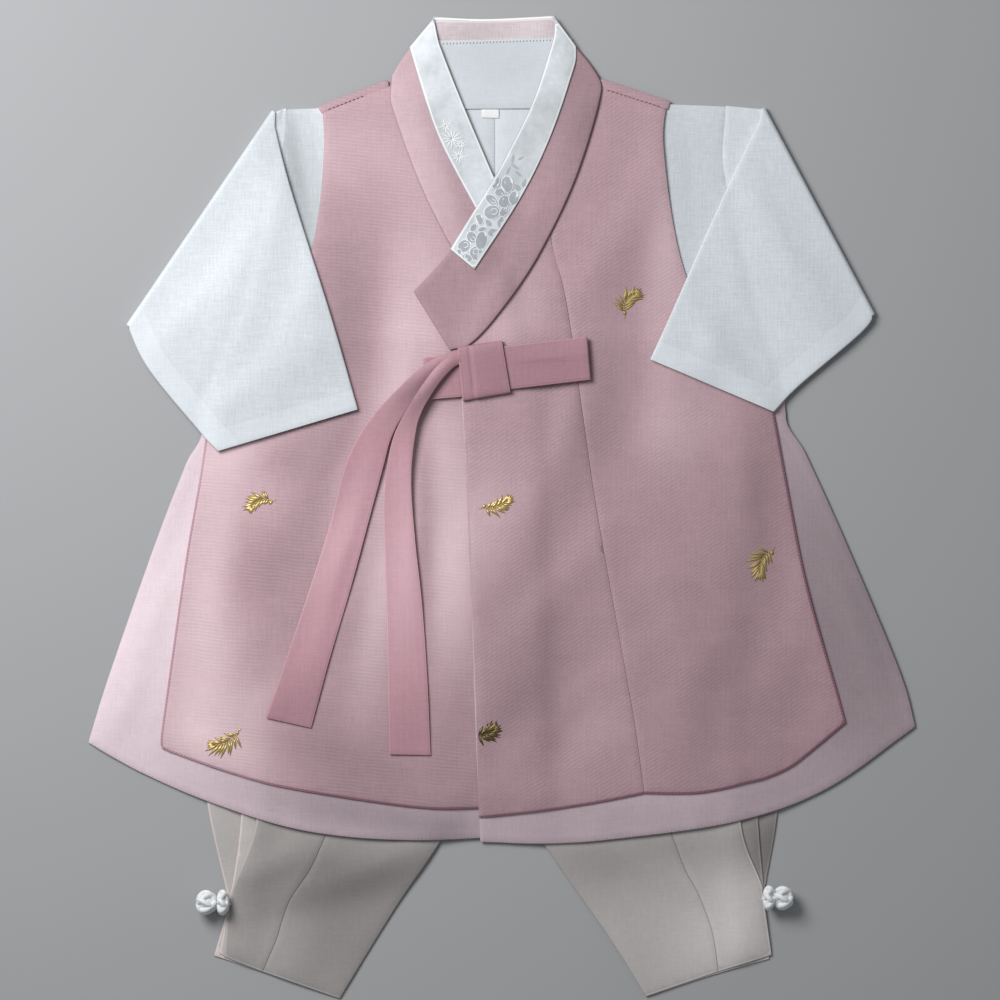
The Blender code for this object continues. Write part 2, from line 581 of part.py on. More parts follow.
def back_panels():
    """The courses behind the wearer: collar strip and band, vest back, coat backs, neck facing, label."""
    strip_back = outline([(-49.0, 278.0), (-41.0, 294.6)], [(-41.0, 294.6), (-9.0, 293.4), (31.6, HALF_LENGTH)],
                         [(31.6, HALF_LENGTH), (41.0, 279.0)])
    band_back = outline([(-62.0, NECK_Y + SEAM), (-40.5, 292.4)], [(-40.5, 292.4), (-9.0, 291.8), (31.2, 293.8)],
                        [(31.2, 293.8), (54.0, NECK_Y + SEAM)])
    vest_back = outline(
        [(-66.0, NECK_Y - SEAM), (56.0, NECK_Y - SEAM)],
        [(58.8, 254.6), (100.4, 241.4)],
        moved(VEST_ARMHOLE_RIGHT, 1.6),
        moved(VEST_SIDE_RIGHT, -2.4),
        [(203.0, -129.5), (150.0, -162.0), (85.0, -173.0), (-15.0, -178.0), (-124.0, -167.0), (-201.0, -143.0)],
        back(moved(VEST_SIDE_LEFT, 2.4)),
        back(moved(VEST_ARMHOLE_LEFT, -1.6)),
        [(-109.6, 239.0), (-68.8, 254.2)],
    )
    coat_back_left = outline(
        [(COAT_CENTRE - SEAM, NECK_Y - SEAM), (COAT_CENTRE - SEAM, -197.6)],
        [
            (COAT_CENTRE - SEAM, -197.6), (-53.9, -198.4), (-119.0, -192.6), (-177.1, -175.0), (-221.0, -155.4),
            (-246.6, -140.6),
        ],
        back(moved(COAT_SIDE_LEFT, 0.8)),
        back(moved(ARMHOLE_SEAM_LEFT, SEAM)),
        [(-133.0 + SEAM, 238.3), (-66.0, 253.4)],
    )
    coat_back_right = outline(
        back([(COAT_CENTRE + SEAM, NECK_Y - SEAM), (COAT_CENTRE + SEAM, -199.0)]),
        [(COAT_CENTRE + SEAM, NECK_Y - SEAM), (58.0, 253.4), (135.0 - SEAM, 240.3)],
        moved(ARMHOLE_SEAM_RIGHT, -SEAM),
        moved(COAT_SIDE_RIGHT, -0.8),
        [
            (246.6, -131.4), (194.6, -168.0), (140.0, -187.4), (66.1, -198.0), (23.8, -200.4),
            (COAT_CENTRE + SEAM, -199.0),
        ],
    )
    facing = outline([(-48.0, FACING_Y), (42.0, FACING_Y + 0.4)], [(42.0, 281.8), (-44.0, 279.8)])
    label = outline([(-12.0, 234.0), (-1.8, 233.6)], [(-1.8, FACING_Y - GAP), (-12.0, FACING_Y - GAP)])
    return [
        [Panel("collar_strip_back", "white_brocade", strip_back, CLOTH)],
        [
            Panel("vest_back", "rose_silk", vest_back, CLOTH),
            Panel("collar_band_back", "collar_rose", band_back, BAND_CLOTH),
        ],
        [
            Panel("coat_back_left", "pale_rose_silk", coat_back_left, CLOTH),
            Panel("coat_back_right", "pale_rose_silk", coat_back_right, CLOTH),
        ],
        [
            Panel("neck_facing", "white_silk", facing, CLOTH),
            Panel("label", "label_tape", label, CLOTH),
        ],
    ]


def under_front_panels():
    """The front that lies beneath, on the wearer's right: coat, vest, collar band and strip."""
    yoke = outline(
        [(-66.0, 252.6), (-133.0 + SEAM, 238.3)],
        moved(ARMHOLE_SEAM_LEFT, SEAM),
        [(-178.0, YOKE_Y + SEAM), (10.0, YOKE_Y + SEAM)],
        [(10.0, YOKE_Y + SEAM), (5.0, 135.0), (-18.0, 172.0), (-45.0, 240.0), (-52.0, 252.0)],
    )
    skirt = outline(
        moved(COAT_SIDE_LEFT, 0.0, -SEAM),
        COAT_HEM_UNDER,
        [(30.0, -196.5), (22.0, YOKE_Y - SEAM)],
    )
    vest = outline(
        [(-68.0, 252.3), (-107.6, 236.6)],
        VEST_ARMHOLE_LEFT,
        VEST_SIDE_LEFT,
        [(-204.8, -139.4), (-204.2, -144.2), (-201.0, -146.4)],
        VEST_HEM_UNDER,
        [(28.0, -179.5), (24.0, 60.0)],
        [(24.0, 60.0), (5.0, 135.0), (-18.0, 172.0), (-45.0, 240.0), (-52.0, 252.0)],
    )
    shoulder = outline([(-69.0, 256.0), (-110.0, 240.4)], [(-108.0, 237.0), (-68.2, 252.8)])
    band = outline(
        BAND_UNDER_OUTER,
        [(-16.0, 136.0), (12.0, 168.0)],
        BAND_UNDER_INNER,
    )
    strip = outline(
        STRIP_UNDER_OUTER,
        [(-8.0, 166.0), (5.0, 178.0)],
        moved(BAND_UNDER_INNER[1:], 0.4, 0.4),
    )
    return [
        [
            Panel("yoke_front_under", "white_silk", yoke, CLOTH),
            Panel("coat_front_under", "pale_rose_silk", skirt, CLOTH),
        ],
        [
            Panel("vest_front_under", "rose_silk", vest, CLOTH),
            Panel("vest_shoulder_left", "rose_silk", shoulder, CLOTH),
        ],
        [Panel("collar_band_under", "collar_rose", band, BAND_CLOTH)],
        [Panel("collar_strip_under", "white_brocade", strip, CLOTH)],
    ]


def over_front_panels():
    """The front that lies on top, on the wearer's left, with its overlap panel and the collar's long end."""
    yoke = outline(
        back([(48.0, 252.0), (40.0, 240.0), (27.0, 205.0), (5.0, 160.0), (-18.0, 112.0), (-18.0, YOKE_Y + SEAM)]),
        [(48.0, 252.0), (60.0, 252.6), (135.0 - SEAM, 240.3)],
        moved(ARMHOLE_SEAM_RIGHT, -SEAM),
        [(169.4, YOKE_Y + SEAM), (-18.0, YOKE_Y + SEAM)],
    )
    skirt = outline(
        moved(FRONT_EDGE, 0.0, -SEAM),
        COAT_HEM_OVER,
        back(moved(COAT_SIDE_RIGHT, 0.0, -SEAM)),
    )
    gore = outline(
        [(48.0, 252.0), (29.7 + SEAM, 206.0)],
        moved(OVERLAP_SEAM, SEAM),
        [(85.4 + SEAM, -171.8), (117.1, -171.8), (145.3, -166.0), (171.7, -157.1), (206.5, -129.5)],
        back(VEST_SIDE_RIGHT),
        back(VEST_ARMHOLE_RIGHT),
        [(98.5, 238.6), (58.5, 252.3)],
    )
    overlap = outline(
        [(-24.0, 90.0), (-23.3, 64.7), (-19.9, 6.6), (-17.2, -63.8), (-15.4, -116.6), (-13.6, -186.5)],
        [(-13.6, -186.5), (22.1, -182.7), (57.2, -177.4), (85.4 - SEAM, -171.8)],
        back(moved(OVERLAP_SEAM, -SEAM)),
        [(29.7 - SEAM, 160.9), (29.7 - SEAM, 195.0)],
        [(22.0, 188.0), (-12.0, 118.0), (-24.0, 104.0)],
    )
    shoulder = outline([(100.8, 243.2), (59.8, 256.8)], [(59.0, 252.7), (99.2, 239.1)])
    band = outline(
        BAND_OVER_OUTER,
        [(-20.0, 96.7), (-31.0, 94.0)],
        [(-52.8, 129.1), (-30.6, 153.9)],
        BAND_OVER_INNER,
    )
    strip = outline(
        STRIP_OVER_OUTER,
        [(-16.4, 142.4), (-30.9, 154.6)],
        moved(BAND_OVER_INNER[1:], -0.4, 0.4),
    )
    return [
        [
            Panel("yoke_front_over", "white_silk", yoke, CLOTH),
            Panel("coat_front_over", "pale_rose_silk", skirt, CLOTH),
        ],
        [
            Panel("vest_front_over", "rose_silk", gore, CLOTH),
            Panel("vest_overlap", "rose_silk", overlap, CLOTH),
            Panel("vest_shoulder_right", "rose_silk", shoulder, CLOTH),
        ],
        [Panel("collar_band_over", "collar_rose", band, BAND_CLOTH)],
        [Panel("collar_strip_over", "white_brocade", strip, CLOTH)],
    ]


def band_row(top, foot, share, z):
    """One row across the tied ribbon's band, from its foot to its top edge."""
    count = len(top) - 1
    place = min(int(share * count), count - 1)
    rest = share * count - place
    high, low = (np.array(edge[place]) + (np.array(edge[place + 1]) - edge[place]) * rest for edge in (top, foot))
    return [np.array((*(low + (high - low) * u), z)) for u in (0.0, 0.5, 1.0)]


def make_ribbon(stack, collection):
    """The tied ribbon: knot, band with its flattened loop, and the two loose ends."""
    ground = max(stack.height(x, y) for x in (-47.0, -20.0, 10.0, 55.0) for y in (65.0, 98.0)) + GAP
    level = ground + CLOTH + GAP + CLOTH / 2
    upper = level + CLOTH + GAP
    radius = (upper - level) / 2
    rows = [band_row(LOOP_TOP, LOOP_FOOT, share, level) for share in (0.0, 0.33, 0.66, 0.97)]
    for turn in (45, 90, 135):
        row = band_row(LOOP_TOP, LOOP_FOOT, 0.97, level + radius * (1 - math.cos(math.radians(turn))))
        rows.append([p + np.array((radius * math.sin(math.radians(turn)), 0.0, 0.0)) for p in row])
    rows += [band_row(LOOP_TOP, LOOP_FOOT, share, upper) for share in (0.97, 0.66, 0.45)]
    thickened("ribbon_loop", rows, False, CLOTH, "ribbon_rose", collection)

    band = outline(LOOP_TOP[:2], back(LOOP_FOOT[:2]))
    stack.cover(stack.cells_under(band), level + CLOTH / 2 + GAP)

    middle_z = (level + upper) / 2
    rings = []
    for share in (0.0, 0.5, 1.0):
        top = np.array((*(np.array(KNOT_TOP[0]) + (np.array(KNOT_TOP[1]) - KNOT_TOP[0]) * share), middle_z))
        foot = np.array((*(np.array(KNOT_FOOT[0]) + (np.array(KNOT_FOOT[1]) - KNOT_FOOT[0]) * share), middle_z))
        middles = [foot + (top - foot) * u for u in (0.06, 0.5, 0.94)]
        half_depth = (upper - level) / 2 + CLOTH + GAP
        rings.append(flat_ring(foot, top, middles, np.array((0.0, 0.0, 1.0)), half_depth))
    thickened("ribbon_knot", rings, True, CLOTH, "ribbon_rose", collection)

    for name, table in TAILS.items():
        left = curve_points([(*row.left, row.left_lift) for row in table], 14.0)
        right = curve_points([(*row.right, row.right_lift) for row in table], 14.0)
        count = 20
        strip = []
        for k in range(count):
            share = k / (count - 1)
            ends = []
            for rail in (left, right):
                place = share * (len(rail) - 1)
                low = min(int(place), len(rail) - 2)
                ends.append(rail[low] + (rail[low + 1] - rail[low]) * (place - low))
            rest = max(stack.height(p[0], p[1]) for p in ends) + CLOTH / 2
            strip.append([ends[0] + (ends[1] - ends[0]) * u + np.array((0.0, 0.0, rest)) for u in (0.0, 0.5, 1.0)])
        thickened(name, strip, False, CLOTH, "ribbon_rose", collection)


def make_ankle_closings(collection):
    """A knotted ball button and its cord loop at each ankle, standing beside the cuff."""
    for closing in ANKLE_CLOSINGS:
        radius = closing.button_radius * MM
        shape = bmesh.new()
        bmesh.ops.create_uvsphere(shape, u_segments=12, v_segments=8, radius=radius)
        mesh = bpy.data.meshes.new("button")
        shape.to_mesh(mesh)
        shape.free()
        button = add_object(f"ankle_button_{closing.side}", mesh, "white_cord", collection)
        button.location = (closing.button_x * MM, closing.y * MM, radius)
        bpy.ops.mesh.primitive_torus_add(
            major_segments=14,
            minor_segments=8,
            major_radius=closing.loop_radius * MM,
            minor_radius=closing.cord_radius * MM,
            location=(closing.loop_x * MM, closing.y * MM, radius),
            rotation=(0.0, math.radians(90.0), 0.0),
        )
        ring = bpy.context.object
        ring.name = f"ankle_loop_{closing.side}"
        ring.scale = (CORD_FLATTENING, 1.0, 1.0)
        ring.data.materials.append(material("white_cord"))
        for owner in list(ring.users_collection):
            owner.objects.unlink(ring)
        collection.objects.link(ring)


def clear_scene():
    for thing in list(bpy.data.objects):
        bpy.data.objects.remove(thing)


def main():
    clear_scene()
    garment = bpy.data.collections.new("hanbok")
    cutters = bpy.data.collections.new("cutters")
    bpy.context.scene.collection.children.link(garment)
    bpy.context.scene.collection.children.link(cutters)
    stack = Stack()
    for course in trouser_panels():
        lay(stack, course, garment, cutters)
    make_waistband(stack, garment)
    for course in back_panels():
        lay(stack, course, garment, cutters)
    under = under_front_panels()
    over = over_front_panels()
    for course in (*under, *over):
        is_vest = course[0].name in ("vest_front_under", "vest_front_over")
        lay(stack, course, garment, cutters, swell=vest_swell if is_vest else None)
    make_ribbon(stack, garment)
    make_sleeves(stack, garment)
    make_ankle_closings(garment)


main()
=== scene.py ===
"""Looks of a small child's hanbok set, laid flat: cloth, collar, ribbon, stitching and cord buttons.

Each laid panel is thin cloth cut to the outline of its own solid in the frame, and rests on what was
laid before it. Lengths are in millimetres until they reach a mesh, but the add-on's properties are in
metres. +Y points to the neck, +X to the wearer's left side and +Z up from the surface.
"""

import json
import math
import random
from collections import namedtuple

import bmesh
import bpy
import numpy as np
from mathutils import Matrix, Vector, noise
from mathutils.geometry import delaunay_2d_cdt

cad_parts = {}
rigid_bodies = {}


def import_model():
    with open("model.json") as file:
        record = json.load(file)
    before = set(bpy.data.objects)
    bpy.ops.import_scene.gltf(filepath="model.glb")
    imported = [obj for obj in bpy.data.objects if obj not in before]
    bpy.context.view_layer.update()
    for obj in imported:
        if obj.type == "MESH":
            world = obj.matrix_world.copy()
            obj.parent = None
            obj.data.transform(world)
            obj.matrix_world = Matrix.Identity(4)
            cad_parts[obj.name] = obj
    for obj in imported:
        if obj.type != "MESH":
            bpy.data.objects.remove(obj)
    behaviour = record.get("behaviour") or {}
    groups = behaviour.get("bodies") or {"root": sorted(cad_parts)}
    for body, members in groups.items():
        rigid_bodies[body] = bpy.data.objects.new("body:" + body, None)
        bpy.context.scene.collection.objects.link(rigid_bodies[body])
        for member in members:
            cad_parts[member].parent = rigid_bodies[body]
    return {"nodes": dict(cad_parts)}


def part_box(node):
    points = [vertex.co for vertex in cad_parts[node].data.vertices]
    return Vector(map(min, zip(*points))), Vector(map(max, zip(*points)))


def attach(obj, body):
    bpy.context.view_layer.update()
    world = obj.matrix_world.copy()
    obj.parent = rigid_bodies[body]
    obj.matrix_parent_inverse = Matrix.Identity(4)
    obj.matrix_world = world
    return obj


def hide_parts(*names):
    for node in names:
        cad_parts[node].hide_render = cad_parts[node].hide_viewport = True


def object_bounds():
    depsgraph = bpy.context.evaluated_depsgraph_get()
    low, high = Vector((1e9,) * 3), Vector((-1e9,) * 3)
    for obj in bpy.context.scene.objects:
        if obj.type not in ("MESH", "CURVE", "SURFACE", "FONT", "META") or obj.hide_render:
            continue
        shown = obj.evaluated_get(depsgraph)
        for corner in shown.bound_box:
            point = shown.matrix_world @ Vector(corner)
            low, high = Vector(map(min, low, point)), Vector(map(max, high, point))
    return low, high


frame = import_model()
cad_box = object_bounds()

bl_info = {
    "name": "Child's hanbok laid flat",
    "version": (1, 0, 0),
    "blender": (4, 5, 0),
    "location": "3D View > Sidebar > Hanbok",
    "description": "Lays out a child's hanbok: trousers, wrap coat, over-vest, collar, ribbon and buttons",
    "category": "Object",
}

MM = 0.001
BODY = "root"

# How cloth is laid: these repeat the frame's own wall and clearance
CLOTH_STEP = 1.3  # from the underside of one layer to that of the next
BAND_STEP = 1.7  # the same over the interlined collar band
CELL = 2.0  # spacing of the height field
PILE_MARGIN = 14.0  # how far the height field runs past the set
SETTLE = 4.5  # how softly cloth passes over the edge of what is beneath, as a blur radius
HIDDEN_SETTLE = 13.0  # the same for the covered layers, whose edges don't show through
CORNER_ANGLE = 26.0  # degrees of turn from which an outline has a corner
SEAM_REACH = 0.14  # how far cloth reaches past its solid, so that sewn panels meet
SHOULDER_REACH = 0.6  # the same for the shoulder strips, which meet the collar
FAR = 999.0  # more than any distance on the set
# a cut size is never stated as less; the label runs on into its seam
SMALLEST_SHEET = 10.2  # the least length and width taken for a panel's cut size; the label runs on into its seam

# Soft folds of the laid cloth: middle, direction of the ridge in degrees, length, breadth and height
Fold = namedtuple("Fold", "x y run length breadth height")
VEST_FOLDS = [
    Fold(-95, 205, -38, 110, 17, 1.5),
    Fold(-62, 168, -42, 120, 15, 1.3),
    Fold(-52, 122, -50, 100, 22, 1.9),
    Fold(-120, 10, 62, 130, 26, 2.4),
    Fold(-92, -62, 66, 110, 19, 1.5),
    Fold(-160, -95, 78, 95, 24, 1.9),
    Fold(-38, 12, 86, 90, 17, 2),
    Fold(-36, -110, 97, 120, 22, 1.2),
    Fold(34, 30, 74, 110, 24, 2.6),
    Fold(30, -52, 52, 110, 20, 2.2),
    Fold(62, -105, 44, 95, 17, 1.4),
    Fold(10, -148, 58, 80, 18, 1.2),
    Fold(84, 188, 78, 90, 16, 1.2),
    Fold(60, 150, 62, 90, 20, 1.4),
    Fold(115, 82, 64, 100, 24, 2),
    Fold(150, 6, 96, 110, 16, 1.6),
    Fold(104, -62, 108, 130, 26, 1.6),
    Fold(168, -92, 74, 90, 24, 1.6),
]
COAT_FOLDS = [
    Fold(-212, -70, 70, 90, 11, 1.2),
    Fold(-226, -118, 66, 60, 9, 0.9),
    Fold(218, -78, -66, 90, 12, 1.3),
    Fold(-120, -188, -74, 26, 9, 0.9),
    Fold(-46, -192, -86, 24, 8, 0.8),
    Fold(58, -192, 84, 26, 9, 0.9),
    Fold(118, -184, 74, 26, 8, 0.8),
]
TROUSER_FOLDS = [
    Fold(-104, -226, 18, 90, 13, 2.8),
    Fold(-70, -214, 30, 60, 15, 2),
    Fold(-138, -214, 33, 50, 10, 1.8),
    Fold(-150, -262, 74, 30, 10, 1.2),
    Fold(-118, -270, 68, 44, 16, 1.1),
    Fold(86, -216, -24, 70, 14, 2),
    Fold(72, -262, -60, 60, 16, 1.2),
    Fold(138, -222, -52, 50, 9, 1.5),
    Fold(144, -262, -78, 36, 9, 1.1),
]

# Soft patches of painted light and shade: painted highlights where the sheen catches the light, painted
# shadows cast by sleeves, ribbon, collar and hems, painted shade along folds, and places where sheer cloth
# looks lighter or darker over what is beneath; height is the share of change. A key applies to all pieces
# whose names start with it.
PAINTED_LIGHT_PATCHES = {
    "vest_front_under": [
        Fold(-178, -56, 86, 230, 44, 0.54),
        Fold(-156, -36, 90, 80, 26, -0.36),
        Fold(-164, 26, 30, 54, 32, 0.34),
        Fold(-160, -152, -20, 80, 36, 0.26),
        Fold(-56, 108, 90, 170, 38, 0.40),
        Fold(-94, 214, 40, 66, 50, 0.22),
        Fold(-94, 104, 92, 120, 32, -0.26),
        Fold(-78, 30, 72, 100, 32, 0.46),
        Fold(-31, -26, 90, 130, 26, 0.64),
        Fold(-68, -40, 80, 130, 22, 0.54),
        Fold(-138, 26, 24, 66, 24, -0.26),
        Fold(-157, -126, 40, 80, 44, 0.26),
        Fold(-92, -150, -14, 100, 40, -0.20),
        Fold(-30, -130, 88, 60, 24, -0.12),
        Fold(-47, 4, 93, 150, 12, -0.36),
        Fold(-83, -4, 72, 90, 8, -0.24),
        Fold(-48, 62, 40, 40, 16, -0.22),
    ],
    "vest_front_over": [
        Fold(66, 84, 86, 160, 34, -0.16),
        Fold(98, 152, 88, 170, 30, 0.30),
        Fold(110, 54, 60, 66, 34, 0.22),
        Fold(149, -2, 92, 120, 22, -0.22),
        Fold(128, -110, 80, 110, 36, -0.22),
        Fold(92, -60, 60, 70, 30, -0.08),
    ],
    "vest_overlap": [
        Fold(-12, -8, 88, 70, 26, 0.26),
        Fold(10, 112, 62, 60, 34, 0.24),
        Fold(0, -150, 80, 60, 30, 0.08),
        Fold(44, 130, 62, 100, 30, -0.22),
        Fold(8, -124, 62, 110, 34, -0.28),
        Fold(52, -132, 56, 66, 22, 0.14),
        Fold(50, 60, 86, 90, 20, -0.22),
        Fold(4, -60, 70, 80, 26, -0.12),
    ],
    "coat_front_under": [
        Fold(-202, -62, 68, 260, 60, 0.40),
        Fold(-84, -184, -7, 160, 30, -0.36),
        Fold(-172, -166, -24, 90, 40, 0.12),
        Fold(-30, -194, 0, 60, 30, -0.16),
    ],
    "coat_front_over": [
        Fold(209, -66, -68, 300, 90, -0.48),
        Fold(60, -192, 5, 150, 34, -0.20),
        Fold(-18, -10, 92, 260, 10, -0.30),
        Fold(150, -178, 20, 90, 30, -0.14),
    ],
    "sleeve_left": [
        Fold(-120, 88, 62, 140, 60, -0.13),
        Fold(-196, 128, 55, 130, 50, 0.09),
        Fold(-136, 206, -70, 70, 10, -0.10),
    ],
    "sleeve_right": [
        Fold(158, 150, -60, 260, 120, 0.04),
        Fold(172, 90, -40, 90, 40, 0.07),
    ],
    "yoke_front_under": [
        Fold(-123, 199, -77, 140, 14, -0.36),
        Fold(-110, 190, -82, 110, 6, -0.12),
    ],
    "yoke_front_over": [Fold(110, 200, -84, 60, 8, -0.06)],
    "trouser_front": [
        Fold(-104, -240, 20, 190, 160, -0.40),
        Fold(-90, -217, 16, 130, 24, -0.26),
        Fold(-136, -256, 70, 60, 20, 0.14),
        Fold(134, -250, 70, 80, 50, 0.24),
        Fold(152, -198, 76, 40, 26, -0.20),
        Fold(86, -206, 8, 190, 26, -0.26),
        Fold(56, -226, 40, 60, 40, -0.12),
    ],
    "trouser_pleat": [Fold(160, -200, 80, 80, 60, -0.50)],
    "trouser_back": [
        Fold(160, -204, 80, 80, 60, -0.56),
        Fold(-168, -205, 80, 60, 30, -0.10),
    ],
    "collar_band_under": [Fold(-54, 206, -70, 190, 56, 0.42)],
    "collar_band_over": [
        Fold(53, 238, -80, 66, 40, -0.24),
        Fold(14, 150, 50, 220, 90, -0.06),
    ],
    "collar_band_back": [
        Fold(-4, 286, 0, 150, 40, 0.18),
        Fold(-16, 287, 80, 30, 22, -0.12),
        Fold(16, 286, 84, 30, 16, 0.12),
    ],
    "collar_strip_over": [Fold(23, 226, 62, 120, 40, -0.18)],
    "neck_facing": [Fold(-4, 262, 0, 120, 60, -0.16)],
    "ribbon_loop": [Fold(20, 86, 6, 150, 70, -0.20), Fold(28, 88, 6, 60, 2.4, -0.14)],
    "ribbon_knot": [Fold(-10, 84, 6, 80, 60, -0.24)],
    "ribbon_tail_outer": [
        Fold(-44, 76, 42, 50, 12, -0.42),
        Fold(-60, 58, 48, 90, 40, -0.12),
        Fold(-98, -20, 74, 130, 22, 0.26),
        Fold(-92, -30, 74, 90, 7, -0.16),
        Fold(-122, -116, 70, 70, 40, -0.14),
    ],
    "ribbon_tail_inner": [
        Fold(-44, 68, 52, 44, 10, -0.42),
        Fold(-56, 52, 60, 80, 40, -0.10),
        Fold(-52, 0, 92, 110, 6, -0.20),
        Fold(-56, -128, 90, 70, 40, -0.14),
        Fold(-58, -30, 90, 150, 30, 0.34),
    ],
}

# The sleeves, folded back over the front: edges of the folded part, from the shoulder end to the cuff
Sleeve = namedtuple("Sleeve", "name seam crease fold_edge seam_edge puffs")
SLEEVES = [
    Sleeve(
        "sleeve_left",
        seam=[(-129.5, 238.8), (-134.5, 200), (-176.8, 76.2)],
        crease=[(-138.6, 237.8), (-225.2, 110.2)],
        fold_edge=[(-138.6, 237.8), (-127.7, 193.7), (-103, 115.1), (-86.7, 58.4)],
        seam_edge=[(-225.2, 110.2), (-212, 83.2), (-181.5, 46.1), (-169.9, 33.7)],
        puffs=[
            Fold(-152, 150, 74, 150, 26, 1.6),
            Fold(-186, 118, 52, 90, 20, 1.2),
            Fold(-128, 84, 70, 70, 22, 1.1),
        ],
    ),
    Sleeve(
        "sleeve_right",
        seam=[(134.6, 240.2), (135.2, 189), (168.8, 76.2)],
        crease=[(158.5, 239.4), (223.9, 116.6)],
        fold_edge=[(158.5, 239.4), (134.5, 189.3), (101, 113.7), (89.4, 88.3)],
        seam_edge=[(223.9, 116.6), (215.9, 105), (178.1, 73), (162.8, 57.3)],
        puffs=[
            Fold(160, 170, -66, 130, 24, 1.6),
            Fold(190, 128, -56, 90, 18, 1.2),
            Fold(130, 110, -58, 70, 20, 1.1),
        ],
    ),
]
SLEEVE_HALF_DEPTH = 0.6  # between the middle of a flattened sleeve and each of its walls
CREASE_RADIUS = 1.5
UP = np.array((0.0, 0.0, 1.0))
ROOT_SINK = 2.6  # how far the sleeve starts beneath the yoke's surface, at their seam

# The loose ribbon ends: both edges of the ribbon and their heights over what lies below
Row = namedtuple("Row", "left right left_lift right_lift")
TAILS = {
    "ribbon_tail_outer": [
        Row((-20, 94.4), (-19.6, 90.4), -2, -2),
        Row((-27.6, 94.2), (-27, 88.6), -0.8, 0.6),
        Row((-45.4, 86), (-43.3, 76), 1.6, 3.4),
        Row((-62.6, 70.5), (-57, 58), 2.2, 3.4),
        Row((-79.7, 51.6), (-66, 42.3), 2, 3),
        Row((-92.5, 28.5), (-71.6, 22.2), 1.8, 3),
        Row((-103.5, -12), (-81, -12.9), 0.8, 1.6),
        Row((-113.8, -44.7), (-91, -50), 0.5, 0.8),
        Row((-127.5, -85.7), (-103.5, -92), 0.5, 0.5),
        Row((-141.3, -126.3), (-114.4, -132.5), 0.5, 0.5),
    ],
    "ribbon_tail_inner": [
        Row((-20, 92), (-19.6, 86), -1, -1),
        Row((-27.4, 92.2), (-26.6, 85.4), 2, 2.6),
        Row((-32, 90), (-30.4, 82.4), 4.4, 5.2),
        Row((-41.3, 81.6), (-38.4, 73), 6.6, 8),
        Row((-54, 63), (-48, 57), 7.2, 8),
        Row((-65.2, 41), (-51.9, 42.8), 6.8, 7.4),
        Row((-70.2, 10.6), (-54.3, 15.9), 4.6, 5.6),
        Row((-70.3, -20.2), (-51.9, -20.2), 2.2, 3.2),
        Row((-69, -60), (-47.8, -58), 1, 1.6),
        Row((-68.2, -105), (-44.6, -104), 0.5, 0.8),
        Row((-67.4, -148.3), (-42.7, -148.8), 0.5, 0.5),
    ],
}
# Upper and lower edges of the ribbon's band with its loop, and of the turn round it
LOOP_TOP = [(-47, 89.5), (-25, 92), (0.9, 96.2), (53, 102.3)]
LOOP_FOOT = [(-47, 64.2), (-25, 66), (4.9, 70.6), (55.2, 76.6)]
KNOT_TOP = [(-26.5, 95.6), (0, 99.6)]
KNOT_FOOT = [(-23.4, 63.6), (5.2, 68.6)]

# Finished edges, each named by a point that it passes: hems and bands are measured from them
FINISHED_EDGES = {
    "collar_band_over": [(50, 202), (11, 124)],
    "collar_band_under": [(-64, 200)],
    "vest_front_under": [(-190, -30), (-120, -170)],
    "vest_front_over": [(188, -60), (150, -165)],
    "vest_overlap": [(30, -182)],
    "coat_front_under": [(-225, -72), (-120, -194)],
    "coat_front_over": [(228, -72), (66, -199), (-19, -60)],
    "coat_back_left": [(-120, -192)],
    "coat_back_right": [(140, -187)],
    "trouser_front_outer_left": [(-155, -275), (-157, -196)],
    "trouser_front_inner_left": [(-120, -287)],
    "trouser_front_outer_right": [(146, -274), (150, -196)],
    "trouser_front_inner_right": [(108, -287)],
    "collar_strip_over": [(-24, 148)],
}

# Lines that the covered layers stay below at the shoulders, where the vest's shoulder strips lie over them
LEFT_SHOULDER = [(-138, 238.6), (-110.5, 239.4), (-69, 255)]
RIGHT_SHOULDER = [(60, 255.6), (100.8, 241.8), (158, 239.6)]
TUCKED = {
    "yoke_front_under": LEFT_SHOULDER,
    "coat_back_left": LEFT_SHOULDER,
    "yoke_front_over": RIGHT_SHOULDER,
    "coat_back_right": RIGHT_SHOULDER,
}
# The armholes' edges, each named by a point that it passes
ARMHOLES = {"vest_front_under": [(-108, 190)], "vest_front_over": [(98, 200)]}

# Gold sprigs: panel, middle, direction, bend and length of the spine, leaf lengths to its left and right,
# and finish; one finish is gold darkened with painted shade, another a darker, rougher gold
Sprig = namedtuple("Sprig", "on x y run bend span left right finish", defaults=("gold",))
SPRIGS = [
    Sprig("vest_front_under", -143.1, 4.4, 192, 40, 13.5, 3.6, 6),
    Sprig("vest_front_under", -73.5, 35.4, 60, 30, 14, 4.6, 4.6),
    Sprig("vest_overlap", -5.3, -0.6, 12, 26, 15, 5, 5.6),
    Sprig("vest_front_under", -162.5, -139.8, 214, -34, 17, 7.2, 5),
    Sprig("vest_overlap", -11.5, -136.8, 14, 20, 11, 6.4, 5.6, "gold_in_shade"),
    Sprig("vest_front_over", 73.3, 121.2, 72, -50, 15, 5, 7.4, "gold_dim"),
    Sprig("vest_front_over", 157.3, -30, 236, 36, 15.5, 6.6, 6.8, "gold_dim"),
]

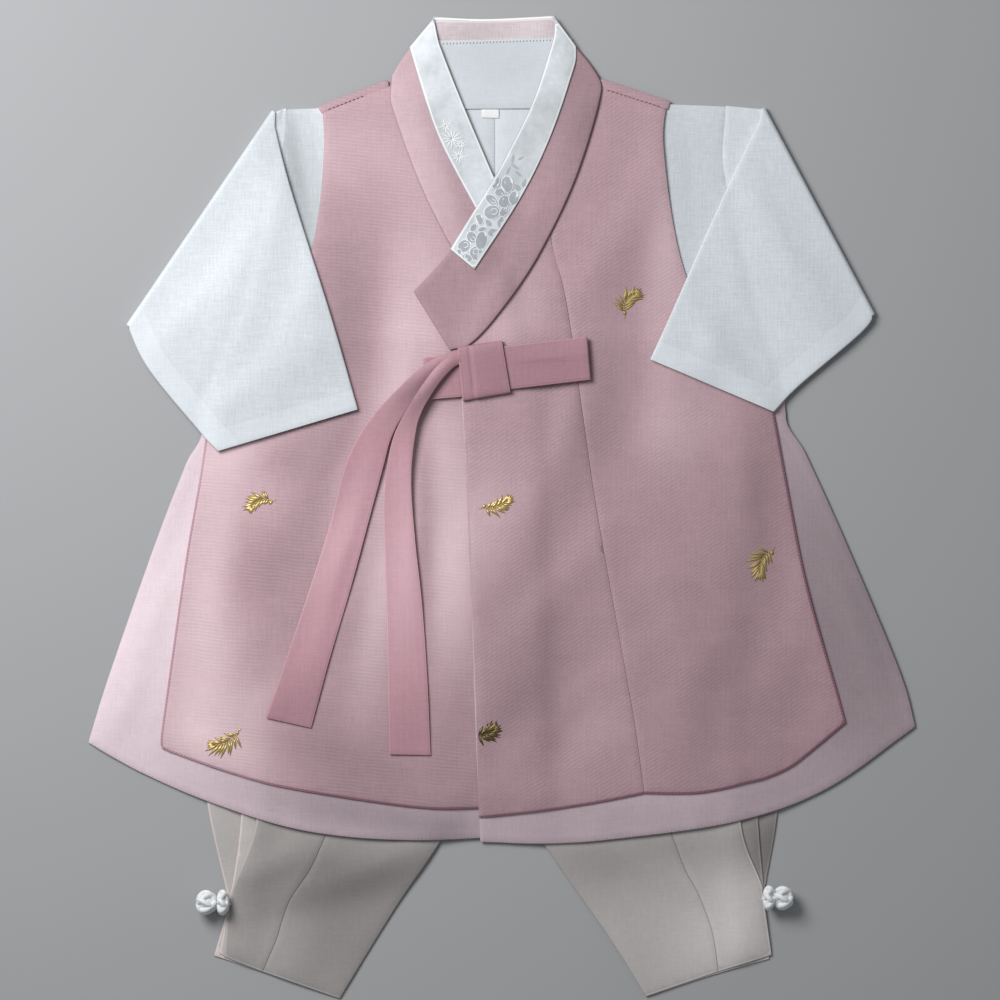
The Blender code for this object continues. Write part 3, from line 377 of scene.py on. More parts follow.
# The woven flowers at the end of the collar strip: middle, direction, length and breadth of each petal,
# and whether it is a blunt petal or a pointed leaf
Petal = namedtuple("Petal", "x y turn length breadth blunt", defaults=(True,))
PETAL_GROWTH = 1.28  # how much larger the blunt petals are than listed, so that they overlap
HEART_SHARE = 0.55  # size of the smaller petal that lies on each blunt one
HEART_SHIFT = 0.3  # how far it lies forward, as a share of its length
PETAL_RIM = 0.42  # width of the pale thread round each petal
BROCADE_PETALS = [
    Petal(-22.6, 156.4, 40, 6.8, 6),
    Petal(-15.4, 152, 100, 7.2, 6.6),
    Petal(-18, 161.6, -55, 6.4, 5),
    Petal(-12.2, 159.8, 80, 9.4, 5.8),
    Petal(-20.6, 149.4, 150, 5.4, 3.6),
    Petal(-26, 152.2, 70, 4.6, 3),
    Petal(-17, 167.4, 60, 4.6, 3.2),
    Petal(-11.8, 166.6, 20, 4.6, 2.6),
    Petal(-5, 164.6, 15, 7, 4.8, False),
    Petal(-13.4, 172.4, 110, 6, 3.8),
    Petal(-8, 170.4, 130, 5.4, 3, False),
    Petal(-0.6, 170.8, 80, 7, 4, False),
    Petal(-6, 176.8, 20, 8.2, 7),
    Petal(1.4, 177.2, 50, 6, 4),
    Petal(1.4, 183.2, 60, 6.6, 5.6),
    Petal(-6.2, 184.2, -40, 6.8, 4.6),
    Petal(7, 185.6, 75, 7, 4.8),
    Petal(-1.2, 188.8, 10, 5.4, 4.2),
    Petal(3.2, 193.6, 95, 8.4, 6),
    Petal(-3.6, 194.8, 70, 6.8, 3.8),
    Petal(9.4, 191.8, 130, 5.2, 3.2, False),
    Petal(13.4, 194.4, 70, 5.4, 2.6, False),
    Petal(4, 202, 62, 6.6, 1.7, False),
    Petal(8, 204.2, -34, 6.4, 1.8, False),
    Petal(10, 200, -40, 5.4, 1.7, False),
    Petal(6.6, 209, 80, 6, 1.7, False),
    Petal(11.6, 209.4, 30, 4.6, 1.5, False),
]

# The white flowers of the lower strip: middle, number of petals and their length
WHITE_FLOWERS = [
    (-30, 221, 12, 8.4),
    (-25.5, 210.5, 10, 6),
    (-33.5, 228.5, 9, 5),
    (-24.5, 217.5, 8, 4.4),
]

# Where stitches run: along edges named by a point that they pass, or along lines
VEST_HEMS = {name: FINISHED_EDGES[name] for name in ("vest_front_under", "vest_front_over", "vest_overlap")}
COAT_HEMS = {"coat_front_under": [(-120, -194)], "coat_front_over": [(66, -199)]}
FACING_LINES = {"neck_facing": [(-37, 278.2), (-4, 279.2), (30.5, 280.4)]}
SHOULDER_LINES = {
    "vest_shoulder_right": [(61.6, 250.9), (97.1, 239.6)],
    "vest_shoulder_left": [(-105.9, 238), (-81.2, 247.5)],
}
Stitch = namedtuple("Stitch", "inset pitch length radius slant lift thread slot")
VEST_STITCH = Stitch(0.85, 1.9, 1.25, 0.21, 38, 0, "rose_thread", "rose_silk")
COAT_STITCH = Stitch(0.7, 2.3, 1.1, 0.17, 10, 0, "coat_thread", "pale_rose_silk")
FACING_STITCH = Stitch(0, 2, 1.5, 0.28, 62, 0, "grey_thread", "white_silk")
SHOULDER_STITCH = Stitch(0, 2.6, 2, 0.28, 6, 0.3, "rose_thread", "rose_silk")

AnkleClosing = namedtuple("AnkleClosing", "side button_x loop_x y radius")
ANKLE_CLOSINGS = [
    AnkleClosing("left", -177.2, -167.3, -237.1, 6.4),
    AnkleClosing("right", 168.7, 160.3, -234.5, 6.2),
]


def colour_property(name, about, default):
    """A linear colour that the sidebar can change."""
    return bpy.props.FloatVectorProperty(
        name=name, description=about, subtype="COLOR", size=3, min=0.0, max=1.0, default=default
    )


def length_property(name, about, default):
    """A length in metres that the sidebar can change."""
    return bpy.props.FloatProperty(
        name=name, description=about, default=default, min=0.0, unit="LENGTH", precision=5
    )


def share_property(name, about, default):
    """A share or strength that the sidebar can change."""
    return bpy.props.FloatProperty(name=name, description=about, default=default, min=0.0, subtype="FACTOR")


class HanbokCloth(bpy.types.PropertyGroup):
    """Sizes of the laid cloth."""

    wall: length_property("Cloth thickness", "Thickness of one layer of cloth", 0.0008)
    band_wall: length_property("Band thickness", "Thickness of the interlined collar band", 0.0014)
    pitch: length_property("Mesh spacing", "Distance between points of the cloth that shows", 0.0036)
    hidden_pitch: length_property("Hidden spacing", "Distance between points of covered cloth", 0.0080)
    hem: length_property("Hem width", "Width of the turned hem of the coat", 0.0064)
    ripple: length_property("Ripple height", "Height of the faint unevenness of laid cloth", 0.0005)
    fold_share: share_property("Fold height", "Height of the soft folds, as a share of the set one", 1.0)


class HanbokColours(bpy.types.PropertyGroup):
    """Colours of the set's cloths and trims."""

    rose: colour_property("Rose", "Over-vest cloth", (0.555, 0.360, 0.404))
    # Also painted shade: the dark line along the vest's finished edges and the collar band's outer edge.
    rose_dark: colour_property("Dark rose", "Stitching and edges of the vest", (0.290, 0.100, 0.155))
    collar: colour_property("Collar", "Collar band cloth", (0.515, 0.330, 0.375))
    ribbon: colour_property("Ribbon", "Ribbon cloth", (0.600, 0.325, 0.385))
    pale_rose: colour_property("Pale rose", "Long coat's cloth", (0.720, 0.565, 0.612))
    white: colour_property("White", "Sleeves and yoke", (0.765, 0.812, 0.850))
    strip: colour_property("Collar strip", "White collar strip", (0.800, 0.842, 0.880))
    silver: colour_property("Silver grey", "Flowers woven into the collar strip", (0.460, 0.500, 0.535))
    cream: colour_property("Cream", "Trouser cloth", (0.585, 0.545, 0.530))
    gold: colour_property("Gold", "Stamped sprigs", (0.640, 0.470, 0.190))
    cord: colour_property("Cord", "Satin cord of the buttons", (0.930, 0.950, 0.965))


class HanbokStage(bpy.types.PropertyGroup):
    """Camera, lights and floor."""

    field: length_property("Field of view", "Width that the camera sees at the cloth", 0.600)
    distance: length_property("Camera distance", "Height of the camera over the cloth", 3.200)
    key_power: bpy.props.FloatProperty(
        name="Key light", description="Power of the soft main light", default=15.4, min=0.0, unit="POWER"
    )
    fill: share_property("Fill", "Strength of the even light from all round", 0.235)
    floor: colour_property("Floor", "Plain pale floor", (0.385, 0.390, 0.400))


# ---------------------------------------------------------------- outlines


def curve_points(through, step):
    """Points along a smooth curve (Catmull-Rom) through the given ones, about a step apart."""
    points = [np.array(p, float) for p in through]
    ends = [2 * points[0] - points[1], *points, 2 * points[-1] - points[-2]]
    line = []
    for before, start, stop, after in zip(ends, ends[1:], ends[2:], ends[3:]):
        count = max(1, round(np.linalg.norm((stop - start)[:2]) / step))
        for t in np.arange(count) / count:
            bend = 2 * before - 5 * start + 4 * stop - after
            twist = 3 * start - before - 3 * stop + after
            line.append(0.5 * (2 * start + (stop - before) * t + bend * t * t + twist * t**3))
    return np.array([*line, points[-1]])


def at_share(line, share):
    """The point at a share of a line's own length."""
    steps = np.linalg.norm(np.diff(line[:, :2], axis=0), axis=1)
    along = np.concatenate([[0.0], np.cumsum(steps)])
    return np.array([np.interp(share * along[-1], along, line[:, k]) for k in range(line.shape[1])])


def plan_outline(node):
    """A laid panel's outline seen from above, anticlockwise, from the upper faces of its solid."""
    mesh = frame["nodes"][node].data
    rim = set()
    for face in mesh.polygons:
        if face.normal.z < 0.5:
            continue
        corners = [tuple(round(c / MM, 2) for c in mesh.vertices[i].co[:2]) for i in face.vertices]
        for start, stop in zip(corners, corners[1:] + corners[:1]):
            if (stop, start) in rim:
                rim.remove((stop, start))
            elif start != stop:
                rim.add((start, stop))
    following = dict(rim)
    first = min(following)
    line = [first]
    while following[line[-1]] != first:
        line.append(following[line[-1]])
    return without_straight_points(np.array(line))


def without_straight_points(points):
    """The outline without the points that lie on the straight line between their neighbours."""
    kept = list(points)
    changed = True
    while changed:
        changed = False
        for i in range(len(kept)):
            before, here, after = kept[i - 1], kept[i], kept[(i + 1) % len(kept)]
            span = after - before
            off = abs(span[0] * (here - before)[1] - span[1] * (here - before)[0]) / np.linalg.norm(span)
            if off < 0.03:
                kept.pop(i)
                changed = True
                break
    return np.array(kept)


def runs_between_corners(points):
    """The outline split where it turns sharply: each run is a list of points that a smooth edge passes."""
    count = len(points)
    corners = []
    for i in range(count):
        before = points[i] - points[i - 1]
        after = points[(i + 1) % count] - points[i]
        turn = math.atan2(before[0] * after[1] - before[1] * after[0], before @ after)
        if abs(math.degrees(turn)) > CORNER_ANGLE:
            corners.append(i)
    return [
        np.array([points[k % count] for k in range(start, stop + 1)])
        for start, stop in zip(corners, corners[1:] + [corners[0] + count])
    ]


def tucked(points, line):
    """The outline held down to a line, so that nothing peeps out above what covers it."""
    x, y = points.T
    limit = np.interp(x, *np.array(line).T, left=FAR, right=FAR)
    return np.stack([x, np.minimum(y, limit)], axis=1)


class Outline:
    """A panel's outline, smooth between its corners, and measures taken from it."""

    def __init__(self, node, step=2.0):
        self.coarse = plan_outline(node)
        self.runs = [curve_points(run, step) for run in runs_between_corners(self.coarse)]
        self.points = np.concatenate([run[:-1] for run in self.runs])
        if node in TUCKED:
            self.points = self.coarse = tucked(self.points, TUCKED[node])
        self.closed = np.vstack([self.points, self.points[:1]])

    def run_past(self, place):
        """The edge that passes nearest to a place."""
        return min(self.runs, key=lambda run: np.linalg.norm(run - np.array(place), axis=1).min())

    def area(self):
        return area_within(self.points)

    def inset(self, depth):
        """The outline's points moved inwards."""
        ahead = np.roll(self.points, -1, axis=0) - np.roll(self.points, 1, axis=0)
        inward = np.stack([-ahead[:, 1], ahead[:, 0]], axis=1)
        return self.points + inward / np.linalg.norm(inward, axis=1)[:, None] * depth


def area_within(points):
    """Area inside a closed line of points."""
    x, y = np.array(points)[:, :2].T
    return abs(x @ np.roll(y, -1) - y @ np.roll(x, -1)) / 2


def inside(outline, x, y):
    """Which of the points lie inside an outline, by counting crossings."""
    found = np.zeros(np.shape(x), bool)
    for (x0, y0), (x1, y1) in zip(outline, np.roll(outline, -1, axis=0)):
        if y0 != y1:
            found ^= ((y0 > y) != (y1 > y)) & (x < x0 + (y - y0) * (x1 - x0) / (y1 - y0))
    return found


def distance_to(line, x, y):
    """How far each point is from a line of points."""
    best = np.full(np.shape(x), FAR)
    for (x0, y0), (x1, y1) in zip(line, line[1:]):
        dx, dy = x1 - x0, y1 - y0
        share = np.clip(((x - x0) * dx + (y - y0) * dy) / (dx * dx + dy * dy), 0.0, 1.0)
        best = np.minimum(best, np.hypot(x - x0 - share * dx, y - y0 - share * dy))
    return best


# ---------------------------------------------------------------- how layers lie on each other


def blur(field, radius):
    """The height field softened by a Gaussian of that radius in millimetres."""
    reach = int(3 * radius / CELL)
    weights = np.exp(-0.5 * (np.arange(-reach, reach + 1) * CELL / radius) ** 2)
    weights /= weights.sum()
    soft = np.pad(field, reach, mode="edge")
    soft = np.apply_along_axis(np.convolve, 0, soft, weights, "valid")
    return np.apply_along_axis(np.convolve, 1, soft, weights, "valid")


def raised_by(folds, x, y):
    """Height of a set of soft folds, with flanks that differ, as in cloth that was smoothed by hand."""
    total = np.zeros(np.shape(x))
    for fold in folds:
        turn = math.radians(fold.run)
        along = (x - fold.x) * math.cos(turn) + (y - fold.y) * math.sin(turn)
        across = (y - fold.y) * math.cos(turn) - (x - fold.x) * math.sin(turn)
        across = across + 0.12 * fold.breadth * np.sin(along * 4.0 / fold.length)
        steep = np.where(across > 0, 1.0, 0.72)
        fall = (2 * along / fold.length) ** 2 + (2 * steep * across / fold.breadth) ** 2
        total += fold.height * np.exp(-fall)
    return total


class Pile:
    """Heights of what has been laid so far, over the whole set."""

    def __init__(self):
        low, high = (np.array(corner) / MM for corner in cad_box)
        self.x = np.arange(low[0] - PILE_MARGIN, high[0] + PILE_MARGIN, CELL)
        self.y = np.arange(low[1] - PILE_MARGIN, high[1] + PILE_MARGIN, CELL)
        self.grid = np.meshgrid(self.x, self.y, indexing="ij")
        self.top = np.zeros(self.grid[0].shape)
        self.rest = {}

    def sample(self, field, x, y):
        """The field's value at any points, between its cells."""
        u = np.clip((np.asarray(x) - self.x[0]) / CELL, 0, len(self.x) - 1.001)
        v = np.clip((np.asarray(y) - self.y[0]) / CELL, 0, len(self.y) - 1.001)
        i, j = u.astype(int), v.astype(int)
        u, v = u - i, v - j
        near = field[i, j] * (1 - v) + field[i, j + 1] * v
        far = field[i + 1, j] * (1 - v) + field[i + 1, j + 1] * v
        return near * (1 - u) + far * u

    def settle(self, names, step=CLOTH_STEP, folds=(), upon=None):
        """Lays a course of panels and keeps the heights at which each one rests.

        upon names the collar band that a strip must clear right up to their common edge.
        """
        share = bpy.context.scene.hanbok_cloth.fold_share
        heights = self.top + share * raised_by(folds, *self.grid)
        rest = blur(heights, SETTLE)
        if upon:
            rest = np.maximum(rest, self.rest[upon] + bpy.context.scene.hanbok_cloth.band_wall / MM)
        for name in names:
            self.rest[name] = rest
        for name in names:
            covered = inside(OUTLINES[name].coarse, *self.grid)
            self.top = np.where(covered, heights + step, self.top)

    def even_out(self, radius):
        """Softens the covered layers, so that their edges don't show through."""
        self.top = np.maximum(self.top, blur(self.top, radius))

    def surface(self, name, x, y):
        """Height of the underside of a laid panel."""
        return self.sample(self.rest[name], x, y) + ripple(x, y)

    def over_all(self, x, y):
        """Height of everything laid so far."""
        return self.sample(blur(self.top, SETTLE), x, y) + ripple(x, y)


def ripple(x, y):
    """The faint unevenness that all layers share."""
    size = bpy.context.scene.hanbok_cloth.ripple / MM
    flat_x, flat_y = np.ravel(x), np.ravel(y)
    found = [
        noise.noise((u * 0.021, v * 0.021, 3.7)) + 0.5 * noise.noise((u * 0.055, v * 0.055, 9.1))
        for u, v in zip(flat_x, flat_y)
    ]
    return size * (np.array(found) + 1.0).reshape(np.shape(x)) * 0.5


# ---------------------------------------------------------------- meshes


def finished_mesh(shape, name):
    """The shape as a mesh."""
    mesh = bpy.data.meshes.new(name)
    shape.to_mesh(mesh)
    shape.free()
    return mesh


def put_attribute(mesh, name, values):
    """Stores a value for each of the mesh's points, for its material to read."""
    mesh.attributes.new(name, "FLOAT", "POINT").data.foreach_set("value", np.asarray(values, np.float32))


def make_piece(name, mesh, finish, slot, replaced=None, smooth=True):
    """A finished piece on the body, with its material and the solid that it stands for; slot is not used.
    """
    mesh.polygons.foreach_set("use_smooth", [smooth] * len(mesh.polygons))
    places = np.array([vertex.co[:2] for vertex in mesh.vertices]) / MM
    # The tone attribute holds the painted light and shade: painted highlights, painted shadows and sheer
    # cloth over what is beneath.
    painted_light = [patch for start, group in PAINTED_LIGHT_PATCHES.items() if name.startswith(start) for patch in group]
    put_attribute(mesh, "tone", 1.0 + raised_by(painted_light, *places.T))
    piece = bpy.data.objects.new(name, mesh)
    bpy.context.scene.collection.objects.link(piece)
    mesh.materials.append(MATERIALS[finish])
    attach(piece, BODY)
    if replaced:
        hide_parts(replaced)
    return piece


ROW_SHARE = 0.866  # height of an even triangle, as a share of its side


def panel_plan(outline, reach, rounding, pitch):
    """A panel seen from above: its points, how deep each one is inside the rim, and its triangles."""
    depths = (0.0, 0.3 * rounding, rounding)
    rings = [outline.inset(depth - reach) for depth in depths]
    low, high = outline.points.min(0), outline.points.max(0)
    rows = np.arange(low[1] + pitch / 2, high[1], pitch * ROW_SHARE)
    lattice = np.array(
        [
            (x + (k % 2) * pitch / 2, y)
            for k, y in enumerate(rows)
            for x in np.arange(low[0] + pitch / 4, high[0], pitch)
        ]
    )
    lattice = lattice[inside(outline.coarse, *lattice.T)]
    lattice = lattice[distance_to(outline.closed, *lattice.T) > max(0.6 * pitch, 2.5 * rounding)]
    points = [Vector(p) for p in np.vstack([*rings, lattice])]
    count = len(outline.points)
    rim = [(i, (i + 1) % count) for i in range(count)]
    found, _, triangles, sources, _, _ = delaunay_2d_cdt(points, rim, [], 1, 1e-4, True)
    plan = np.array([tuple(v) for v in found])
    source = np.array([min(ids) if ids else count for ids in sources])
    depth = np.full(len(plan), rounding)
    depth[source < 2 * count] = depths[1]
    depth[source < count] = depths[0]
    triangles = np.array(triangles)
    within = inside(rings[0], *plan[triangles].mean(axis=1).T)
    flat_on_rim = (depth == 0.0)[triangles].all(axis=1)
    return plan, depth, triangles[within & ~flat_on_rim]


def panel_mesh(name, outline, wall, pitch, hem_width, hem_extra):
    """Closed thin cloth on the pile: both faces, and a rounded rim where they meet."""
    rounding = wall / 2
    reach = SHOULDER_REACH if name.startswith("vest_shoulder") else SEAM_REACH
    plan, depth, triangles = panel_plan(outline, reach, rounding, pitch)
    x, y = plan.T
    hem = edge_distance(FINISHED_EDGES.get(name, ()), outline, x, y)
    seam = distance_to(outline.closed, x, y)
    armhole = edge_distance(ARMHOLES.get(name, ()), outline, x, y)
    full = wall * (1.0 + hem_extra * np.clip((hem_width - hem) * 2.0 + 0.5, 0.0, 1.0))
    thick = full * np.sqrt(1.0 - (1.0 - depth / rounding) ** 2)
    rest = PILE.surface(name, x, y)
    upper = rest + (full + thick) / 2
    lower = rest + (full - thick) / 2
    on_rim = depth == 0.0
    second = np.where(on_rim, np.arange(len(plan)), 0)
    second[~on_rim] = len(plan) + np.arange((~on_rim).sum())
    places = np.vstack([np.stack([x, y, upper], 1), np.stack([x, y, lower], 1)[~on_rim]]) * MM
    faces = []
    for a, b, c in triangles:
        first, last = plan[b] - plan[a], plan[c] - plan[a]
        if first[0] * last[1] < first[1] * last[0]:
            b, c = c, b
        faces.append((a, b, c))
        faces.append((int(second[c]), int(second[b]), int(second[a])))
    mesh = bpy.data.meshes.new(name)
    mesh.from_pydata(places.tolist(), [], faces)
    for label, values in {"hem": hem, "seam": seam, "armhole": armhole}.items():
        put_attribute(mesh, label, np.concatenate([values, values[~on_rim]]))
    return mesh


def edge_distance(places, outline, x, y):
    """Distance to the finished edges that pass the given places, or far away where there are none."""
    best = np.full(np.shape(x), FAR)
    for place in places:
        best = np.minimum(best, distance_to(outline.run_past(place), x, y))
    return best


def lofted_mesh(name, rows, around=False):
    """A surface through rows of points in millimetres."""
    width = len(rows[0])
    faces = []
    for start in range(0, (len(rows) - 1) * width, width):
        for c in range(width if around else width - 1):
            following = start + (c + 1) % width
            faces.append((start + c, start + width + c, following + width, following))
    mesh = bpy.data.meshes.new(name)
    mesh.from_pydata([tuple(np.array(p) * MM) for row in rows for p in row], [], faces)
    return mesh


def thicken(piece, wall):
    """Gives an open surface the wall of its cloth, and rounds the cut edges a little."""
    solid = piece.modifiers.new("cloth wall", "SOLIDIFY")
    solid.thickness = wall * MM
    solid.offset = 0.0
    rim = piece.modifiers.new("soft edge", "BEVEL")
    rim.width = wall * 0.3 * MM
    rim.segments = 2
    rim.limit_method = "ANGLE"
    rim.angle_limit = math.radians(60.0)


# Mesh spacing of the small panels, in metres as in the properties
SHOULDER_PITCH = 0.0020
BAND_PITCH = 0.0026
STRIP_PITCH = 0.0022
LABEL_PITCH = 0.0016

# Length and width that the slanting bands and strips are cut to
BANDS = {
    "collar_band_over": (226.0, 33.0),
    "collar_band_under": (186.0, 33.0),
    "collar_strip_over": (170.0, 18.0),
    "collar_strip_under": (140.0, 18.0),
    "collar_band_back": (120.0, 42.0),
    "collar_strip_back": (95.0, 18.0),
    "vest_shoulder_left": (28.0, SMALLEST_SHEET),
    "vest_shoulder_right": (38.0, SMALLEST_SHEET),
}


def laid_panel(name, finish, slot, pitch=None, wall=None, hem_extra=0.0):
    """One panel of the course that was settled last, as thin cloth."""
    cloth = bpy.context.scene.hanbok_cloth
    wall = wall or cloth.wall / MM
    pitch = (pitch or cloth.pitch) / MM
    outline = OUTLINES[name]
    mesh = panel_mesh(name, outline, wall, pitch, cloth.hem / MM, hem_extra)
    piece = make_piece(f"{name}_cloth", mesh, finish, slot, name)
    if name in BANDS:
        length, width = BANDS[name]
        min(outline.area(), width * length)
    else:
        width, length = np.maximum(outline.points.max(0) - outline.points.min(0), SMALLEST_SHEET)
        outline.area()


# ---------------------------------------------------------------- materials


def add_node(tree, kind, inputs=None, **settings):
    """A shader node with its settings and inputs; an input is a value or another node's output."""
    made = tree.nodes.new("ShaderNode" + kind)
    for key, value in settings.items():
        setattr(made, key, value)
    for key, value in (inputs or {}).items():
        if isinstance(value, bpy.types.NodeSocket):
            tree.links.new(value, made.inputs[key])
        else:
            made.inputs[key].default_value = value
    return made


def math_node(tree, operation, first, second):
    """The result of an operation on two values."""
    return add_node(tree, "Math", {0: first, 1: second}, operation=operation).outputs[0]


def ramp(tree, value, slope, offset):
    """value * slope + offset, held between 0 and 1."""
    inputs = {0: value, 1: slope, 2: offset}
    return add_node(tree, "Math", inputs, operation="MULTIPLY_ADD", use_clamp=True).outputs[0]


def mixed(tree, share, first, second, blend="MIX"):
    """A colour between two others."""
    made = add_node(tree, "Mix", {"Factor": share}, data_type="RGBA", blend_type=blend)
    for index, value in ((6, first), (7, second)):
        if isinstance(value, bpy.types.NodeSocket):
            tree.links.new(value, made.inputs[index])
        else:
            made.inputs[index].default_value = (*value[:3], 1.0)
    return made.outputs[2]


def tinted(tree, tone, mask, share, colour):
    """The tone with a share of another colour wherever the mask is 1."""
    return mixed(tree, math_node(tree, "MULTIPLY", mask, share), tone, colour)


def shade(colour, factor):
    """A colour made darker, or lighter up to white."""
    return tuple(min(1.0, c * factor) for c in colour)


def object_places(tree, scale=(1.0, 1.0, 1.0), turn=0.0):
    """Places on the object in metres, scaled and turned for a texture."""
    source = add_node(tree, "TexCoord").outputs["Object"]
    turned = {"Vector": source, "Scale": scale, "Rotation": (0.0, 0.0, math.radians(turn))}
    return add_node(tree, "Mapping", turned).outputs[0]


WAVE_SCALE = 0.314159  # scale of the wave texture that gives one wave a metre


def threads(tree, pitch, along, turn=0.0, distortion=0.6):
    """Height of parallel threads at a pitch in millimetres; they run along X or along Y."""
    wave = {"Vector": object_places(tree, turn=turn), "Scale": WAVE_SCALE / (pitch * MM)}
    wave.update({"Distortion": distortion, "Detail": 1.0, "Detail Scale": 0.35})
    direction = "Y" if along == "X" else "X"
    return add_node(tree, "TexWave", wave, bands_direction=direction).outputs["Fac"]


def speckle(tree, scale, detail=3.0, roughness=0.6, turn=0.0):
    """Noise, of which scale gives the repeats per metre, as one number or along X, Y and Z."""
    places = object_places(tree, np.broadcast_to(scale, 3).tolist(), turn)
    settings = {"Vector": places, "Scale": 1.0, "Detail": detail, "Roughness": roughness}
    return add_node(tree, "TexNoise", settings).outputs["Fac"]


def band_near(tree, attribute, start, stop, soft):
    """1 between two distances from an edge, in millimetres, and 0 elsewhere."""
    far = add_node(tree, "Attribute", attribute_name=attribute).outputs["Fac"]
    rising = ramp(tree, far, 1.0 / soft, -start / soft + 0.5)
    falling = ramp(tree, far, -1.0 / soft, stop / soft + 0.5)
    return math_node(tree, "MULTIPLY", rising, falling)


def edged(tree, tone, band, share, colour):
    """The tone with a share of another colour in a band beside an edge; band is as band_near takes it."""
    return tinted(tree, tone, band_near(tree, *band), share, colour)


# Pitch of warp and weft in millimetres, strength of the slubs, roughness, sheen, bump and turn in degrees
Weave = namedtuple("Weave", "warp weft slub roughness sheen bump turn", defaults=(0.0,))
NECK_BAND = (0.640, 0.545, 0.575)  # colour of the band behind the neck
GLARE = 0.42  # how strongly the lighter painted patches wash the colour of sheer cloth out to a pale painted glare


def new_material(name):
    """A material, its node tree and its shader."""
    made = bpy.data.materials.new(name)
    made.use_nodes = True
    return made, made.node_tree, made.node_tree.nodes["Principled BSDF"]


def cloth_material(name, colour, weave, decorate=None):
    """Woven cloth: threads both ways, slubs, faint unevenness of colour, and a soft sheen."""
    made, tree, shader = new_material(name)
    warp = threads(tree, weave.warp, "Y", weave.turn)
    weft = threads(tree, weave.weft, "X", weave.turn)
    cloudy = speckle(tree, 26.0, 4.0)
    slub_weft = speckle(tree, (110.0, 2300.0, 60.0), 3.0, 0.7, weave.turn)
    slub_warp = speckle(tree, (2300.0, 130.0, 60.0), 3.0, 0.7, weave.turn)
    slubs = math_node(tree, "ADD", slub_weft, slub_warp)
    weaving = math_node(tree, "ADD", warp, weft)
    tone = mixed(tree, cloudy, shade(colour, 0.94), shade(colour, 1.06))
    grain = ramp(tree, speckle(tree, (820.0, 820.0, 300.0), 3.0, 0.85), 3.0, -1.0)
    tone = tinted(tree, tone, grain, weave.slub * 1.6, shade(colour, 0.62))
    fine = ramp(tree, slubs, 1.8, -1.2)
    tone = mixed(tree, fine, shade(colour, 1.0 - 2.4 * weave.slub), tone)
    between = math_node(tree, "MULTIPLY", weaving, 0.5)
    tone = mixed(tree, between, mixed(tree, 0.08, tone, shade(colour, 0.55)), tone)
    height = math_node(tree, "ADD", weaving, math_node(tree, "MULTIPLY", slubs, 1.6))
    if decorate is not None:
        tone, height = decorate(tree, tone, height)
    # Painted light and shade: the colour is multiplied by the tone attribute, and its lighter patches are
    # washed out toward a pale painted glare.
    painted_light = add_node(tree, "Attribute", attribute_name="tone").outputs["Fac"]
    tone = mixed(tree, 1.0, tone, painted_light, "MULTIPLY")
    glare = ramp(tree, painted_light, GLARE, -GLARE)
    tone = mixed(tree, glare, tone, (0.84, 0.82, 0.83))
    bump = {"Height": height, "Strength": weave.bump, "Distance": 0.12 * MM}
    tree.links.new(tone, shader.inputs["Base Color"])
    tree.links.new(add_node(tree, "Bump", bump).outputs[0], shader.inputs["Normal"])
    gloss = add_node(tree, "MapRange", {"Value": slubs, "From Min": 0.6, "From Max": 1.4})
    gloss.inputs["To Min"].default_value = weave.roughness + 0.06
    gloss.inputs["To Max"].default_value = weave.roughness - 0.06
    tree.links.new(gloss.outputs[0], shader.inputs["Roughness"])
    shader.inputs["Sheen Weight"].default_value = weave.sheen
    shader.inputs["Sheen Roughness"].default_value = 0.38
    shader.inputs["Sheen Tint"].default_value = (*shade(colour, 1.35), 1.0)
    shader.inputs["Specular IOR Level"].default_value = 0.35
    return made


def vest_look(rib_turn):
    """The vest's stitched edges with a dark line along them, partly their own colour and partly painted
    shade, its armhole facing, and wavering ribs where its two layers cross.
    """

    def decorate(tree, tone, height):
        colours = bpy.context.scene.hanbok_colours
        # A dark line at the finished edges: the stitched edge's own colour, and painted shade where the
        # edge stands over what is beneath.
        tone = edged(tree, tone, ("hem", -0.1, 1.2, 0.4), 0.72, colours.rose_dark)
        tone = edged(tree, tone, ("armhole", -1.0, 9.0, 1.2), 0.10, shade(colours.rose, 0.72))
        rib = threads(tree, 2.1, "X", rib_turn, 3.2)
        patchy = ramp(tree, speckle(tree, 34.0, 2.0), 4.0, -1.25)
        ribs = math_node(tree, "MULTIPLY", rib, patchy)
        tone = tinted(tree, tone, ribs, 0.34, shade(colours.rose, 0.60))
        return tone, math_node(tree, "ADD", height, math_node(tree, "MULTIPLY", ribs, 0.8))

    return decorate


def coat_look(tree, tone, height):
    """The pale coat's turned hem, which is denser than the single cloth beside it."""
    colours = bpy.context.scene.hanbok_colours
    tone = edged(tree, tone, ("hem", -1.0, 6.2, 0.5), 0.12, shade(colours.pale_rose, 1.12))
    tone = edged(tree, tone, ("hem", 5.9, 6.6, 0.5), 0.08, shade(colours.pale_rose, 0.72))
    mottle = ramp(tree, speckle(tree, 150.0, 5.0, 0.7), 2.4, -0.8)
    cooler = tuple(c * f for c, f in zip(colours.pale_rose, (0.86, 0.93, 0.97)))
    return tinted(tree, tone, mottle, 0.45, cooler), height


def sleeve_look(tree, tone, height):
    """Turned cuff and seam allowance, seen faintly through the white cloth."""
    colours = bpy.context.scene.hanbok_colours
    for name, width in (("hem", 12.5), ("seam_edge", 13.0)):
        tone = edged(tree, tone, (name, -1.0, width, 0.8), 0.28, shade(colours.white, 1.06))
        tone = edged(tree, tone, (name, width - 0.3, width + 0.7, 0.5), 0.10, shade(colours.white, 0.70))
    return tone, height


